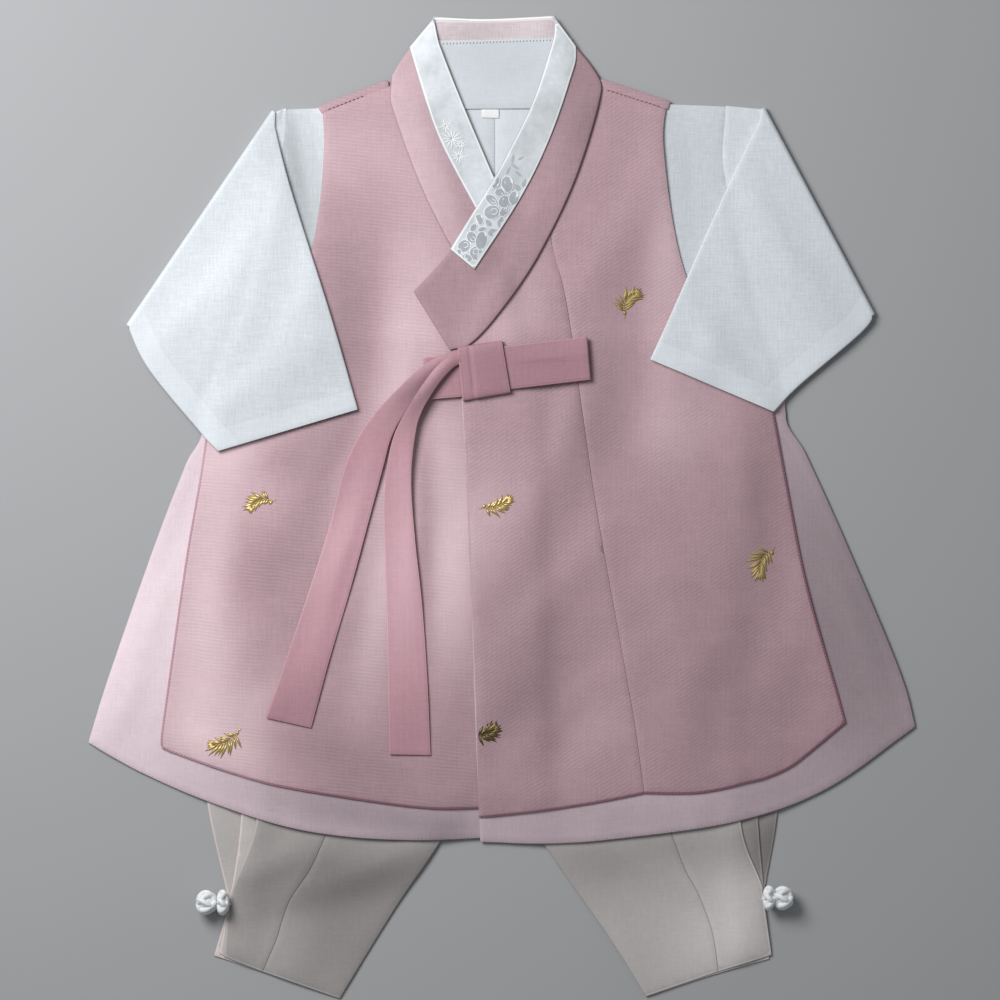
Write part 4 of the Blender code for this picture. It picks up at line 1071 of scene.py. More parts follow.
def collar_look(tree, tone, height):
    """The collar band's outer edge, which turns under, with a painted shadow line along it."""
    colours = bpy.context.scene.hanbok_colours
    # Painted shadow: a dark red line along the band's outer edge.
    tone = edged(tree, tone, ("hem", -1.0, 0.6, 0.4), 0.55, shade(colours.rose_dark, 0.6))
    return shaded_edge_look(tree, tone, height)


def pleat_look(tree, tone, height):
    """The pleats' folded edges, where the lining lends a pink light."""
    return edged(tree, tone, ("seam", -1.0, 0.9, 0.6), 0.55, (0.88, 0.73, 0.71)), height


def trouser_look(tree, tone, height):
    """The trouser fronts' turned edges, with a painted highlight where they catch the light and painted
    shade at their cut edges.
    """
    tone, height = shaded_edge_look(tree, tone, height)
    return edged(tree, tone, ("hem", -1.0, 0.9, 0.5), 0.5, (0.88, 0.84, 0.82)), height


def shaded_edge_look(tree, tone, height):
    """A finished edge that turns under, with painted shade in a thin darker line right at its rim."""
    return edged(tree, tone, ("seam", -1.0, 0.45, 0.3), 0.12, (0.10, 0.06, 0.07)), height


def strip_look(tree, tone, height):
    """The white strip's bright turned border, with painted shadow in a fine dark line at its very edge,
    round faintly clouded satin.
    """
    colours = bpy.context.scene.hanbok_colours
    clouds = ramp(tree, speckle(tree, 85.0, 4.0, 0.65), 3.0, -1.1)
    tone = tinted(tree, tone, clouds, 0.8, shade(colours.strip, 0.68))
    tone = edged(tree, tone, ("seam", 0.3, 1.2, 0.4), 0.8, (1.0, 1.0, 1.0))
    # Painted shadow: a fine dark line at the strip's rim, where it lies over the band.
    tone = edged(tree, tone, ("seam", -1.0, 0.3, 0.25), 0.45, shade(colours.silver, 0.4))
    return tone, height


def ribbon_look(tree, tone, height):
    """The ribbon's turned edges."""
    colours = bpy.context.scene.hanbok_colours
    tone = edged(tree, tone, ("edge", 0.7, 1.5, 0.5), 0.34, shade(colours.ribbon, 0.66))
    tone = edged(tree, tone, ("edge", -1.0, 0.5, 0.4), 0.35, shade(colours.ribbon, 1.4))
    pucker = speckle(tree, 420.0, 3.0, 0.7)
    tone = tinted(tree, tone, pucker, 0.26, shade(colours.ribbon, 0.70))
    height = math_node(tree, "ADD", height, math_node(tree, "MULTIPLY", pucker, 2.0))
    return tone, height


def finishes():
    """All materials of the set, by name."""
    colours = bpy.context.scene.hanbok_colours
    silk = Weave(0.75, 0.62, 0.10, 0.46, 0.25, 0.35)
    slubbed = Weave(0.8, 0.66, 0.11, 0.48, 0.2, 0.3)
    soft = Weave(0.7, 0.6, 0.08, 0.46, 0.25, 0.3)
    ribbed = Weave(0.9, 0.7, 0.12, 0.55, 0.2, 0.45, 24.0)
    plain = Weave(0.6, 0.5, 0.06, 0.6, 0.1, 0.25)
    thread = Weave(0.3, 0.3, 0.05, 0.5, 0.3, 0.4)
    satin = Weave(0.35, 0.35, 0.08, 0.34, 0.2, 0.4)
    ribbon = Weave(0.7, 0.6, 0.10, 0.42, 0.3, 0.3)
    strip = Weave(0.55, 0.5, 0.05, 0.40, 0.15, 0.25)
    cloths = {
        "rose": ("rose_organza", colours.rose, silk, vest_look(6.0)),
        "rose_over": ("rose_organza_over", colours.rose, silk, vest_look(-32.0)),
        "rose_plain": ("rose_lining", shade(colours.rose, 1.1), silk),
        "collar": ("collar_rib", colours.collar, ribbed, collar_look),
        "collar_under": ("collar_rib_under", colours.collar, ribbed._replace(turn=-22.0), collar_look),
        "neck_band": ("neck_band_rib", NECK_BAND, Weave(0.9, 0.7, 0.14, 0.5, 0.25, 0.4), pleat_look),
        "ribbon": ("ribbon_organza", colours.ribbon, ribbon, ribbon_look),
        "pale": ("pale_rose_organza", colours.pale_rose, silk._replace(sheen=0.2), coat_look),
        "white": ("white_slubbed_silk", colours.white, slubbed, sleeve_look),
        "yoke": ("white_yoke_silk", shade(colours.white, 0.96), slubbed),
        "facing": ("white_facing", colours.white, plain),
        "lining": ("pale_lining", shade(colours.white, 0.93), plain._replace(roughness=0.55)),
        "strip": ("white_strip_satin", colours.strip, strip, strip_look),
        "cream_pleat": ("cream_pleat", colours.cream, soft, pleat_look),
        "cream": ("cream_silk", colours.cream, soft, trouser_look),
        "label": ("label_tape", (0.92, 0.93, 0.94), Weave(0.5, 0.4, 0.05, 0.6, 0.1, 0.3)),
        "rose_thread": ("rose_thread", colours.rose_dark, thread),
        "coat_thread": ("coat_thread", (0.42, 0.27, 0.33), thread),
        "white_thread": ("white_thread", (0.94, 0.96, 0.97), Weave(0.3, 0.3, 0.03, 0.4, 0.3, 0.3)),
        "grey_thread": ("grey_thread", (0.44, 0.47, 0.51), thread._replace(sheen=0.2)),
        "silver_rim": ("silver_outline", (0.92, 0.95, 0.97), satin._replace(slub=0.03, bump=0.2)),
        "silver": ("silver_satin", colours.silver, satin),
        "cord": ("satin_cord", colours.cord, Weave(0.7, 0.7, 0.05, 0.22, 0.5, 0.45, 45.0)),
    }
    made = {name: cloth_material(*parts) for name, parts in cloths.items()}
    made["gold"] = gold_material("gold_leaf", colours.gold)
    # A darker, rougher gold for the two sprigs on the front that lies on top.
    made["gold_dim"] = gold_material("gold_leaf_worn", shade(colours.gold, 0.72), 0.55)
    # Painted shade: gold darkened to a quarter, as if in shadow, for one sprig on the overlap.
    made["gold_in_shade"] = gold_material("gold_leaf_shaded", shade(colours.gold, 0.25))
    made["floor"] = floor_material()
    return made


def gold_material(name, colour, roughness=0.36):
    """Stamped gold: metal leaf, a little crumpled and worn."""
    made, tree, shader = new_material(name)
    grain = speckle(tree, 900.0, 3.0)
    tone = mixed(tree, grain, shade(colour, 0.55), shade(colour, 1.35))
    tree.links.new(tone, shader.inputs["Base Color"])
    bump = add_node(tree, "Bump", {"Height": grain, "Strength": 0.5, "Distance": 0.2 * MM})
    tree.links.new(bump.outputs[0], shader.inputs["Normal"])
    shader.inputs["Metallic"].default_value = 0.65
    shader.inputs["Roughness"].default_value = roughness
    return made


def floor_material():
    """A plain pale painted board."""
    made, tree, shader = new_material("pale_floor")
    colour = bpy.context.scene.hanbok_stage.floor
    tone = mixed(tree, speckle(tree, 5.0, 2.0), shade(colour, 0.985), shade(colour, 1.015))
    tree.links.new(tone, shader.inputs["Base Color"])
    shader.inputs["Roughness"].default_value = 0.85
    return made


# ---------------------------------------------------------------- the pieces


class HanbokOperator:
    """What every step has in common."""

    bl_options = {"REGISTER", "UNDO"}


class HANBOK_OT_stage(HanbokOperator, bpy.types.Operator):
    """Set the plain floor, soft light and camera"""

    bl_idname = "hanbok.stage"
    bl_label = "Set stage"

    def execute(self, context):
        stage = context.scene.hanbok_stage
        self.make_floor()
        self.make_lights(stage)
        self.make_camera(stage)
        context.scene.view_settings.view_transform = "Standard"
        return {"FINISHED"}

    def make_floor(self):
        shape = bmesh.new()
        bmesh.ops.create_grid(shape, x_segments=1, y_segments=1, size=3.0)
        mesh = finished_mesh(shape, "floor")
        floor = bpy.data.objects.new("floor", mesh)
        bpy.context.scene.collection.objects.link(floor)
        mesh.materials.append(MATERIALS["floor"])

    def make_lights(self, stage):
        light = bpy.data.lights.new("window", "AREA")
        light.shape = "SQUARE"
        light.size = 0.65
        light.energy = stage.key_power
        lamp = bpy.data.objects.new("window", light)
        lamp.location = (-0.62, 0.57, 0.95)
        aim = Vector((0.02, -0.02, 0.0)) - lamp.location
        lamp.rotation_euler = aim.to_track_quat("-Z", "Y").to_euler()
        lamp.visible_camera = False
        bpy.context.scene.collection.objects.link(lamp)
        world = bpy.data.worlds.new("studio")
        bpy.context.scene.world = world
        world.use_nodes = True
        ground = world.node_tree.nodes["Background"]
        ground.inputs["Color"].default_value = (0.93, 0.97, 1.0, 1.0)
        ground.inputs["Strength"].default_value = stage.fill

    def make_camera(self, stage):
        camera = bpy.data.cameras.new("camera")
        camera.sensor_width = 36.0
        camera.lens = camera.sensor_width * stage.distance / stage.field
        eye = bpy.data.objects.new("camera", camera)
        eye.location = (-0.0011, 0.0042, stage.distance + 0.006)
        bpy.context.scene.collection.objects.link(eye)
        bpy.context.scene.camera = eye


EDGE_TURNS = np.radians(np.arange(-60.0, 61.0, 30.0))  # round the folded edge of a flattened tube


class HANBOK_OT_trousers(HanbokOperator, bpy.types.Operator):
    """Lay the trousers: backs, ankle pleats, fronts and waistband"""

    bl_idname = "hanbok.trousers"
    bl_label = "Lay trousers"

    def execute(self, context):
        hidden = context.scene.hanbok_cloth.hidden_pitch
        backs, pleats = (
            [f"trouser_{layer}_{side}" for side in ("left", "right")] for layer in ("back", "pleat")
        )
        fronts = [
            f"trouser_front_{part}_{side}" for side in ("left", "right") for part in ("outer", "inner")
        ]
        PILE.settle(backs)
        for name in backs:
            laid_panel(name, "cream_pleat", "cream_silk", hidden)
        PILE.settle(pleats)
        for name in pleats:
            laid_panel(name, "cream_pleat", "cream_silk", hidden)
        PILE.settle(fronts, folds=TROUSER_FOLDS)
        for name in fronts:
            laid_panel(name, "cream", "cream_silk")
        self.waistband()
        return {"FINISHED"}

    def waistband(self):
        """The flattened ring of doubled cloth that holds the tops of the trouser panels."""
        name = "trouser_waistband"
        low, high = (np.array(corner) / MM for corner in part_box(name))
        wall = 0.8
        depth = (high[2] - low[2]) / 2 - wall / 2
        middle = (low[2] + high[2]) / 2
        left, right = low[0] + depth + 0.5, high[0] - depth - 0.5
        across = np.linspace(left, right, 60)
        rows = []
        for y in np.linspace(low[1] + 0.2, high[1] - 0.2, 9):
            row = [(x, y, middle + depth) for x in across]
            row += [(right + depth * math.cos(t), y, middle - depth * math.sin(t)) for t in EDGE_TURNS]
            row += [(x, y, middle - depth) for x in across[::-1]]
            row += [(left - depth * math.cos(t), y, middle + depth * math.sin(t)) for t in EDGE_TURNS]
            rows.append(row)
        mesh = lofted_mesh("waistband", rows, True)
        piece = make_piece(f"{name}_cloth", mesh, "cream", "cream_silk", name)
        thicken(piece, wall)
        ground = np.array([(low[0], low[1]), (high[0], low[1]), (high[0], high[1]), (low[0], high[1])])
        covered = inside(ground, *PILE.grid)
        PILE.top = np.where(covered, np.maximum(PILE.top, 2 * CLOTH_STEP), PILE.top)


class HANBOK_OT_backs(HanbokOperator, bpy.types.Operator):
    """Lay the backs: collar strip and band, vest, coat, neck facing and label"""

    bl_idname = "hanbok.backs"
    bl_label = "Lay backs"

    def execute(self, context):
        cloth = context.scene.hanbok_cloth
        PILE.settle(["collar_strip_back"])
        laid_panel("collar_strip_back", "strip", "white_brocade")
        PILE.even_out(HIDDEN_SETTLE)
        PILE.settle(["vest_back", "collar_band_back"])
        laid_panel("vest_back", "rose_plain", "rose_silk", cloth.hidden_pitch)
        laid_panel("collar_band_back", "neck_band", "collar_rose", wall=cloth.band_wall / MM)
        coat = ["coat_back_left", "coat_back_right"]
        PILE.settle(coat, folds=COAT_FOLDS[:3])
        for name in coat:
            laid_panel(name, "lining", "pale_rose_silk", cloth.hidden_pitch)
        PILE.settle(["neck_facing", "label"])
        laid_panel("neck_facing", "facing", "white_silk")
        laid_panel("label", "label", "label_tape", LABEL_PITCH, wall=0.4)
        PILE.even_out(HIDDEN_SETTLE)
        return {"FINISHED"}


def lay_front(side, vest, shoulder, folds, rose, collar):
    """One front of coat and vest with its collar; side is under or over, and it lies on beneath."""
    band_wall = bpy.context.scene.hanbok_cloth.band_wall / MM
    parts = ("yoke_front", "coat_front", "collar_band", "collar_strip")
    yoke, coat, band, strip = (f"{part}_{side}" for part in parts)
    PILE.settle([yoke, coat], folds=COAT_FOLDS)
    laid_panel(yoke, "yoke", "white_silk")
    laid_panel(coat, "pale", "pale_rose_silk", hem_extra=0.15)
    PILE.settle([*vest, shoulder], folds=folds)
    for name in vest:
        laid_panel(name, rose, "rose_silk")
    laid_panel(shoulder, "rose", "rose_silk", SHOULDER_PITCH)
    PILE.settle([band], BAND_STEP)
    laid_panel(band, collar, "collar_rose", BAND_PITCH, band_wall)
    PILE.settle([strip], upon=band)
    laid_panel(strip, "strip", "white_brocade", STRIP_PITCH)


class HANBOK_OT_under_front(HanbokOperator, bpy.types.Operator):
    """Lay the front that lies beneath: yoke, coat, vest, collar band and strip"""

    bl_idname = "hanbok.under_front"
    bl_label = "Lay front beneath"

    def execute(self, context):
        vest, shoulder = ["vest_front_under"], "vest_shoulder_left"
        lay_front("under", vest, shoulder, VEST_FOLDS[:8], "rose", "collar_under")
        return {"FINISHED"}


class HANBOK_OT_over_front(HanbokOperator, bpy.types.Operator):
    """Lay the front that lies on top: yoke, coat, vest with its overlap panel, collar band and strip"""

    bl_idname = "hanbok.over_front"
    bl_label = "Lay front on top"

    def execute(self, context):
        vest, shoulder = ["vest_front_over", "vest_overlap"], "vest_shoulder_right"
        lay_front("over", vest, shoulder, VEST_FOLDS[8:], "rose_over", "collar")
        return {"FINISHED"}


def ribbon_rows(left, right, count_along, count_across, height):
    """Rows across a strip between two edges; height gives each point's place above the pile."""
    rows = []
    for share in np.linspace(0.0, 1.0, count_along):
        start, stop = at_share(left, share), at_share(right, share)
        across = np.linspace(0.0, 1.0, count_across)
        rows.append([height(start + (stop - start) * u, share, u) for u in across])
    return rows


def nearest_end(count):
    """For each of a row of even points, the share of the row to its nearer end."""
    return np.minimum(np.linspace(0, 1, count), np.linspace(1, 0, count))


def strip_attributes(mesh, rows, width):
    """Stores how far each point is from the strip's long edges."""
    put_attribute(mesh, "edge", np.tile(nearest_end(len(rows[0])), len(rows)) * width)


class HANBOK_OT_ribbon(HanbokOperator, bpy.types.Operator):
    """Tie the ribbon: knot, flattened loop and two loose ends"""

    bl_idname = "hanbok.ribbon"
    bl_label = "Tie ribbon"

    WALL = 0.4
    WIDTH = 26.0
    GATHERED = 22.0  # the width that the loose ends are cut to, with their narrowing at the knot
    LOOP = 165.0  # length of the band with its loop
    TURN = (28.0, 66.0)  # width and length of the turn round the band
    LIFT_SHARE = 0.6  # soft ribbon settles nearer to the cloth than its solid does
    LOOP_END = 0.972  # where the loop turns back, as a share of the band
    LOOP_BACK = 0.42  # where its upper layer ends, under the turn

    def execute(self, context):
        self.ground = max(float(PILE.over_all(x, 82.0)) for x in (-45.0, -20.0, 10.0, 50.0)) + 0.3
        self.make_loop()
        self.make_knot()
        for name, table in TAILS.items():
            self.make_tail(name, table)
        return {"FINISHED"}

    def make_loop(self):
        """The band that runs left from the knot, and its flattened loop to the right."""
        lower, upper = self.ground + 0.3, self.ground + 1.9
        radius = (upper - lower) / 2
        across = np.linspace(0.0, 1.0, 15)

        def row(share, z, push):
            top, foot = at_share(np.array(LOOP_TOP), share), at_share(np.array(LOOP_FOOT), share)
            crease = 0.15 * np.exp(-(((across - 0.52) / 0.05) ** 2)) + 0.4 * np.sin(across * math.pi)
            fan = 1.0 + 0.4 * math.sin(share * 9.0)
            raised = z + crease * fan * (z - lower) / radius / 2
            places = foot + (top - foot) * across[:, None] + (push, 0.0)
            return [(*place, height) for place, height in zip(places, raised)]

        rows = [row(share, lower, 0.0) for share in np.linspace(0.0, self.LOOP_END, 36)]
        for turn in np.radians(np.arange(22.5, 180.0, 22.5)):
            rows.append(row(self.LOOP_END, lower + radius * (1 - math.cos(turn)), radius * math.sin(turn)))
        rows += [row(share, upper, 0.0) for share in np.linspace(self.LOOP_END, self.LOOP_BACK, 26)]
        mesh = lofted_mesh("loop", rows)
        strip_attributes(mesh, rows, self.WIDTH)
        piece = make_piece("ribbon_loop_cloth", mesh, "ribbon", "ribbon_rose", "ribbon_loop")
        thicken(piece, self.WALL)

    def make_knot(self):
        """The turn of ribbon round the band, with the edge of its own fold."""
        middle = self.ground + 1.2
        depth = 1.7
        rows = []
        for share in np.linspace(0.0, 1.0, 30):
            top, foot = at_share(np.array(KNOT_TOP), share), at_share(np.array(KNOT_FOOT), share)
            ridge = 0.8 / (1.0 + math.exp(-(share - 0.27) * 90.0))
            ridge -= 0.5 * math.exp(-(((share - 0.25) / 0.02) ** 2))
            belly = 0.5 * math.sin(share * math.pi)
            row = []
            for turn in np.radians(np.arange(0.0, 360.0, 9.0)):
                place = math.copysign(abs(math.cos(turn)) ** 0.35, math.cos(turn))
                rise = math.copysign(abs(math.sin(turn)) ** 0.6, math.sin(turn))
                spot = foot + (top - foot) * (0.5 + 0.5 * place)
                extra = (ridge + belly * math.sin(turn)) if rise > 0 else 0.0
                row.append((*spot, middle + depth * rise + extra))
            rows.append(row)
        mesh = lofted_mesh("knot", rows, True)
        put_attribute(mesh, "edge", np.repeat(nearest_end(len(rows)), len(rows[0])) * self.TURN[0])
        piece = make_piece("ribbon_knot_cloth", mesh, "ribbon", "ribbon_rose", "ribbon_knot")
        thicken(piece, self.WALL)

    def make_tail(self, name, table):
        """A loose end: it leaves the knot gathered and raised, and settles on the cloth."""
        left = curve_points([(*row.left, row.left_lift) for row in table], 4.0)
        right = curve_points([(*row.right, row.right_lift) for row in table], 4.0)
        base = self.ground + 0.9

        def height(point, share, u):
            rest = float(PILE.over_all(point[0], point[1]))
            near_knot = max(0.0, 1.0 - share / 0.22)
            rest += max(0.0, (base - rest) * near_knot)
            roll = 1.0 * math.sin(u * math.pi) * math.exp(-share * 6.0)
            wave = 0.25 * math.sin(share * 21.0 + u * 2.0)
            return (point[0], point[1], rest + 0.4 + self.LIFT_SHARE * point[2] + roll + wave)

        rows = ribbon_rows(left, right, 90, 13, height)
        mesh = lofted_mesh(name, rows)
        strip_attributes(mesh, rows, self.WIDTH)
        piece = make_piece(f"{name}_cloth", mesh, "ribbon", "ribbon_rose", name)
        thicken(piece, self.WALL)


class HANBOK_OT_sleeves(HanbokOperator, bpy.types.Operator):
    """Fold the wide sleeves back over the front"""

    bl_idname = "hanbok.sleeves"
    bl_label = "Fold sleeves"

    CUT = (304.0, 232.0)  # all round at the shoulder, and from the shoulder to the cuff

    def execute(self, context):
        for sleeve in SLEEVES:
            self.make(sleeve)
        return {"FINISHED"}

    def section(self, places, heights, normal):
        """One ring round the flattened sleeve: upper wall, edge, lower wall and the other edge."""
        along = (places[-1] - places[0]) / np.linalg.norm(places[-1] - places[0])
        depth = SLEEVE_HALF_DEPTH
        middles = places + UP * np.reshape(heights, (-1, 1))
        ring = [middle + normal * depth for middle in middles]
        ring += [middles[-1] + depth * (along * math.cos(t) - normal * math.sin(t)) for t in EDGE_TURNS]
        ring += [middle - normal * depth for middle in middles[::-1]]
        ring += [middles[0] + depth * (-along * math.cos(t) + normal * math.sin(t)) for t in EDGE_TURNS]
        return ring

    def root(self, sleeve, crease_line, flat, across):
        """Rings from the armhole, where the sleeve starts beneath the yoke, to the crease."""
        seam = curve_points([(*p, 0.0) for p in sleeve.seam], 3.0)
        armhole = np.array([at_share(seam, u) for u in across])
        for share in np.linspace(0.0, 0.85, 9):
            places = armhole + (crease_line - armhole) * share
            sunk = ROOT_SINK * max(0.0, 1.0 - share / 0.6)
            level = PILE.over_all(places[:, 0], places[:, 1]) + flat - sunk
            yield self.section(places, np.maximum(flat, level), UP)

    def crease(self, crease_line, flat, outward):
        """Rings round the crease, where the sleeve folds back over itself."""
        for turn in np.linspace(0.0, math.pi, 13):
            push = outward * math.sin(turn) - UP * math.cos(turn)
            yield self.section(crease_line + (UP + push) * CREASE_RADIUS, flat, -push)

    def folded(self, sleeve, inner, outer, flat, across):
        """Rings of the folded part, from the crease to the cuff."""
        start_z = flat[0] + 2 * CREASE_RADIUS
        inset = SLEEVE_HALF_DEPTH / np.linalg.norm(at_share(inner, 0.5) - at_share(outer, 0.5))
        for share in np.linspace(0.05, 1.0, 46):
            start, stop = (np.array((*at_share(line, share), 0.0)) for line in (inner, outer))
            start, stop = start + (stop - start) * inset, stop + (start - stop) * inset
            places = start + (stop - start) * across[:, None]
            x, y = places[:, 0], places[:, 1]
            rest = PILE.over_all(x, y) + self.half + 0.6
            blend = min(1.0, share / 0.25)
            least = start_z * (1.0 - blend) + blend * np.maximum(rest, self.half + 2.5)
            puff = raised_by(sleeve.puffs, x, y)
            yield self.section(places, np.maximum(least, rest) + puff * blend, -UP)

    def make(self, sleeve):
        wall = bpy.context.scene.hanbok_cloth.wall / MM
        self.half = SLEEVE_HALF_DEPTH + wall / 2
        across = np.linspace(0.0, 1.0, 41)
        flat = np.full(len(across), self.half + 0.1)
        crease = [np.array((*p, 0.0)) for p in sleeve.crease]
        along = (crease[1] - crease[0]) / np.linalg.norm(crease[1] - crease[0])
        outward = np.array((along[1], -along[0], 0.0))
        if np.dot(outward, crease[0] + crease[1]) < 0:
            outward = -outward
        start, stop = (p - outward * (CREASE_RADIUS + self.half) for p in crease)
        crease_line = start + (stop - start) * across[:, None]
        inner = curve_points(sleeve.fold_edge, 3.0)
        outer = curve_points(sleeve.seam_edge, 3.0)
        rings = [*self.root(sleeve, crease_line, flat, across)]
        turned_back = len(rings) + 6  # the ring at the middle of the crease
        rings += self.crease(crease_line, flat, outward)
        rings += self.folded(sleeve, inner, outer, flat, across)
        mesh = lofted_mesh(sleeve.name, rings, True)
        x, y = np.array(rings).reshape(-1, 3)[:, :2].T
        cuff = np.array([inner[-1], outer[-1]])
        folded = np.repeat(np.arange(len(rings)) >= turned_back, len(rings[0]))
        for label, line in (("hem", cuff), ("seam_edge", outer)):
            put_attribute(mesh, label, np.where(folded, distance_to(line, x, y), FAR))
        piece = make_piece(f"{sleeve.name}_cloth", mesh, "white", "white_silk", sleeve.name)
        thicken(piece, wall)
        seen = area_within([*inner, *outer[::-1]]) + area_within([*sleeve.seam, *sleeve.crease[::-1]])


class HANBOK_OT_buttons(HanbokOperator, bpy.types.Operator):
    """Knot the cord buttons and their loops at the ankles"""

    bl_idname = "hanbok.buttons"
    bl_label = "Knot buttons"

    def execute(self, context):
        for closing in ANKLE_CLOSINGS:
            self.make_button(closing)
            self.make_loop(closing)
        return {"FINISHED"}

    def cord(self, name, points, radius, closed=True):
        """A tube of satin cord along points in millimetres, as a mesh."""
        curve = bpy.data.curves.new(name, "CURVE")
        curve.dimensions = "3D"
        curve.bevel_depth = radius * MM
        curve.bevel_resolution = 4
        spline = curve.splines.new("POLY")
        spline.points.add(len(points) - 1)
        for target, point in zip(spline.points, points):
            target.co = (*(np.array(point) * MM), 1.0)
        spline.use_cyclic_u = closed
        drawn = bpy.data.objects.new(name, curve)
        bpy.context.scene.collection.objects.link(drawn)
        evaluated = drawn.evaluated_get(bpy.context.evaluated_depsgraph_get())
        mesh = bpy.data.meshes.new_from_object(evaluated)
        bpy.data.objects.remove(drawn)
        return mesh

    def joined(self, meshes):
        """Several meshes as one."""
        shape = bmesh.new()
        for mesh in meshes:
            shape.from_mesh(mesh)
        return finished_mesh(shape, "joined")

    def interlaced(self, place, core, squash, cord_radius):
        """A ball of one cord that goes round three times and weaves over and under itself.

        The ball is flattened along X by the squash.
        """
        lead = []
        for t in np.linspace(0.0, 2 * math.pi, 240, endpoint=False):
            lift = math.radians(70.0) * math.sin(4.0 * t)
            reach = core + 0.42 + 0.55 * math.cos(8.0 * t + 0.4)
            ring = reach * math.cos(lift)
            offset = (squash * reach * math.sin(lift), ring * math.cos(3.0 * t), ring * math.sin(3.0 * t))
            lead.append(np.add(place, offset))
        shape = bmesh.new()
        bmesh.ops.create_icosphere(shape, subdivisions=3, radius=core * MM)
        spread = Matrix.Translation(Vector(place) * MM) @ Matrix.Diagonal((squash, 1.0, 1.0, 1.0))
        bmesh.ops.transform(shape, matrix=spread, verts=shape.verts)
        return [self.cord("lead", lead, cord_radius), finished_mesh(shape, "heart")]

    def make_button(self, closing):
        """The button's ball."""
        place = (closing.button_x, closing.y, closing.radius + 1.2)
        mesh = self.joined(self.interlaced(place, closing.radius - 1.4, 1.0, 1.6))
        name = f"ankle_button_{closing.side}"
        make_piece(f"{name}_knot", mesh, "cord", "white_cord", name)

    def make_loop(self, closing):
        """The loop round the button's neck, knotted from the same cord and bound at the cuff."""
        toward = 1.0 if closing.side == "left" else -1.0
        place = (closing.loop_x, closing.y, closing.radius + 1.4)
        strands = self.interlaced(place, closing.radius - 1.0, 0.46, 1.5)
        shank = [
            (closing.loop_x - toward * (4.2 - k * 1.4), closing.y + 0.6 * math.sin(k), closing.radius)
            for k in np.linspace(0.0, 6.0, 14)
        ]
        strands.append(self.cord("shank", shank, 1.5, False))
        name = f"ankle_loop_{closing.side}"
        make_piece(f"{name}_cord", self.joined(strands), "cord", "white_cord", name)


def add_leaf(shape, ground, start, turn, length, breadth, lift=0.3, blunt=False):
    """A leaf or petal, raised down its middle, laid on the cloth; ground gives the cloth's height."""
    rim = []
    for share in (0.0, 0.12, 0.3, 0.5, 0.7, 0.88, 1.0):
        width = math.sqrt(max(0.0, share * (1 - share))) if blunt else 0.5 * math.sin(math.pi * share**0.8)
        rim.append((share * length, width * breadth))
    outline = rim + [(a, -w) for a, w in rim[-2:0:-1]]
    cos, sin = math.cos(turn), math.sin(turn)
    places = [(start[0] + a * cos - b * sin, start[1] + a * sin + b * cos) for a, b in outline]
    middle = (start[0] + 0.45 * length * cos, start[1] + 0.45 * length * sin)
    ring = [shape.verts.new(Vector((*p, ground(*p) + 0.05)) * MM) for p in places]
    crown = shape.verts.new(Vector((*middle, ground(*middle) + lift)) * MM)
    for a, b in zip(ring, ring[1:] + ring[:1]):
        shape.faces.new((a, b, crown))


def relief_mesh(name, shape, depth=0.12):
    """The leaves as one mesh, each closed below."""
    grown = bmesh.ops.extrude_face_region(shape, geom=shape.faces[:])
    lower = [part for part in grown["geom"] if isinstance(part, bmesh.types.BMVert)]
    bmesh.ops.translate(shape, verts=lower, vec=(0.0, 0.0, -depth * MM))
    bmesh.ops.recalc_face_normals(shape, faces=shape.faces)
    return finished_mesh(shape, name)


def keep_inside(shape, node, inset):
    """Cuts away what reaches past a panel's outline, moved inwards."""
    edge = OUTLINES[node].inset(inset)
    spare = [v for v in shape.verts if not inside(edge, v.co.x / MM, v.co.y / MM)]
    bmesh.ops.delete(shape, geom=spare, context="VERTS")


def top_of(name):
    """A function for the height of a laid panel's upper face."""
    wall = bpy.context.scene.hanbok_cloth.wall / MM
    return lambda x, y: float(PILE.surface(name, x, y)) + wall


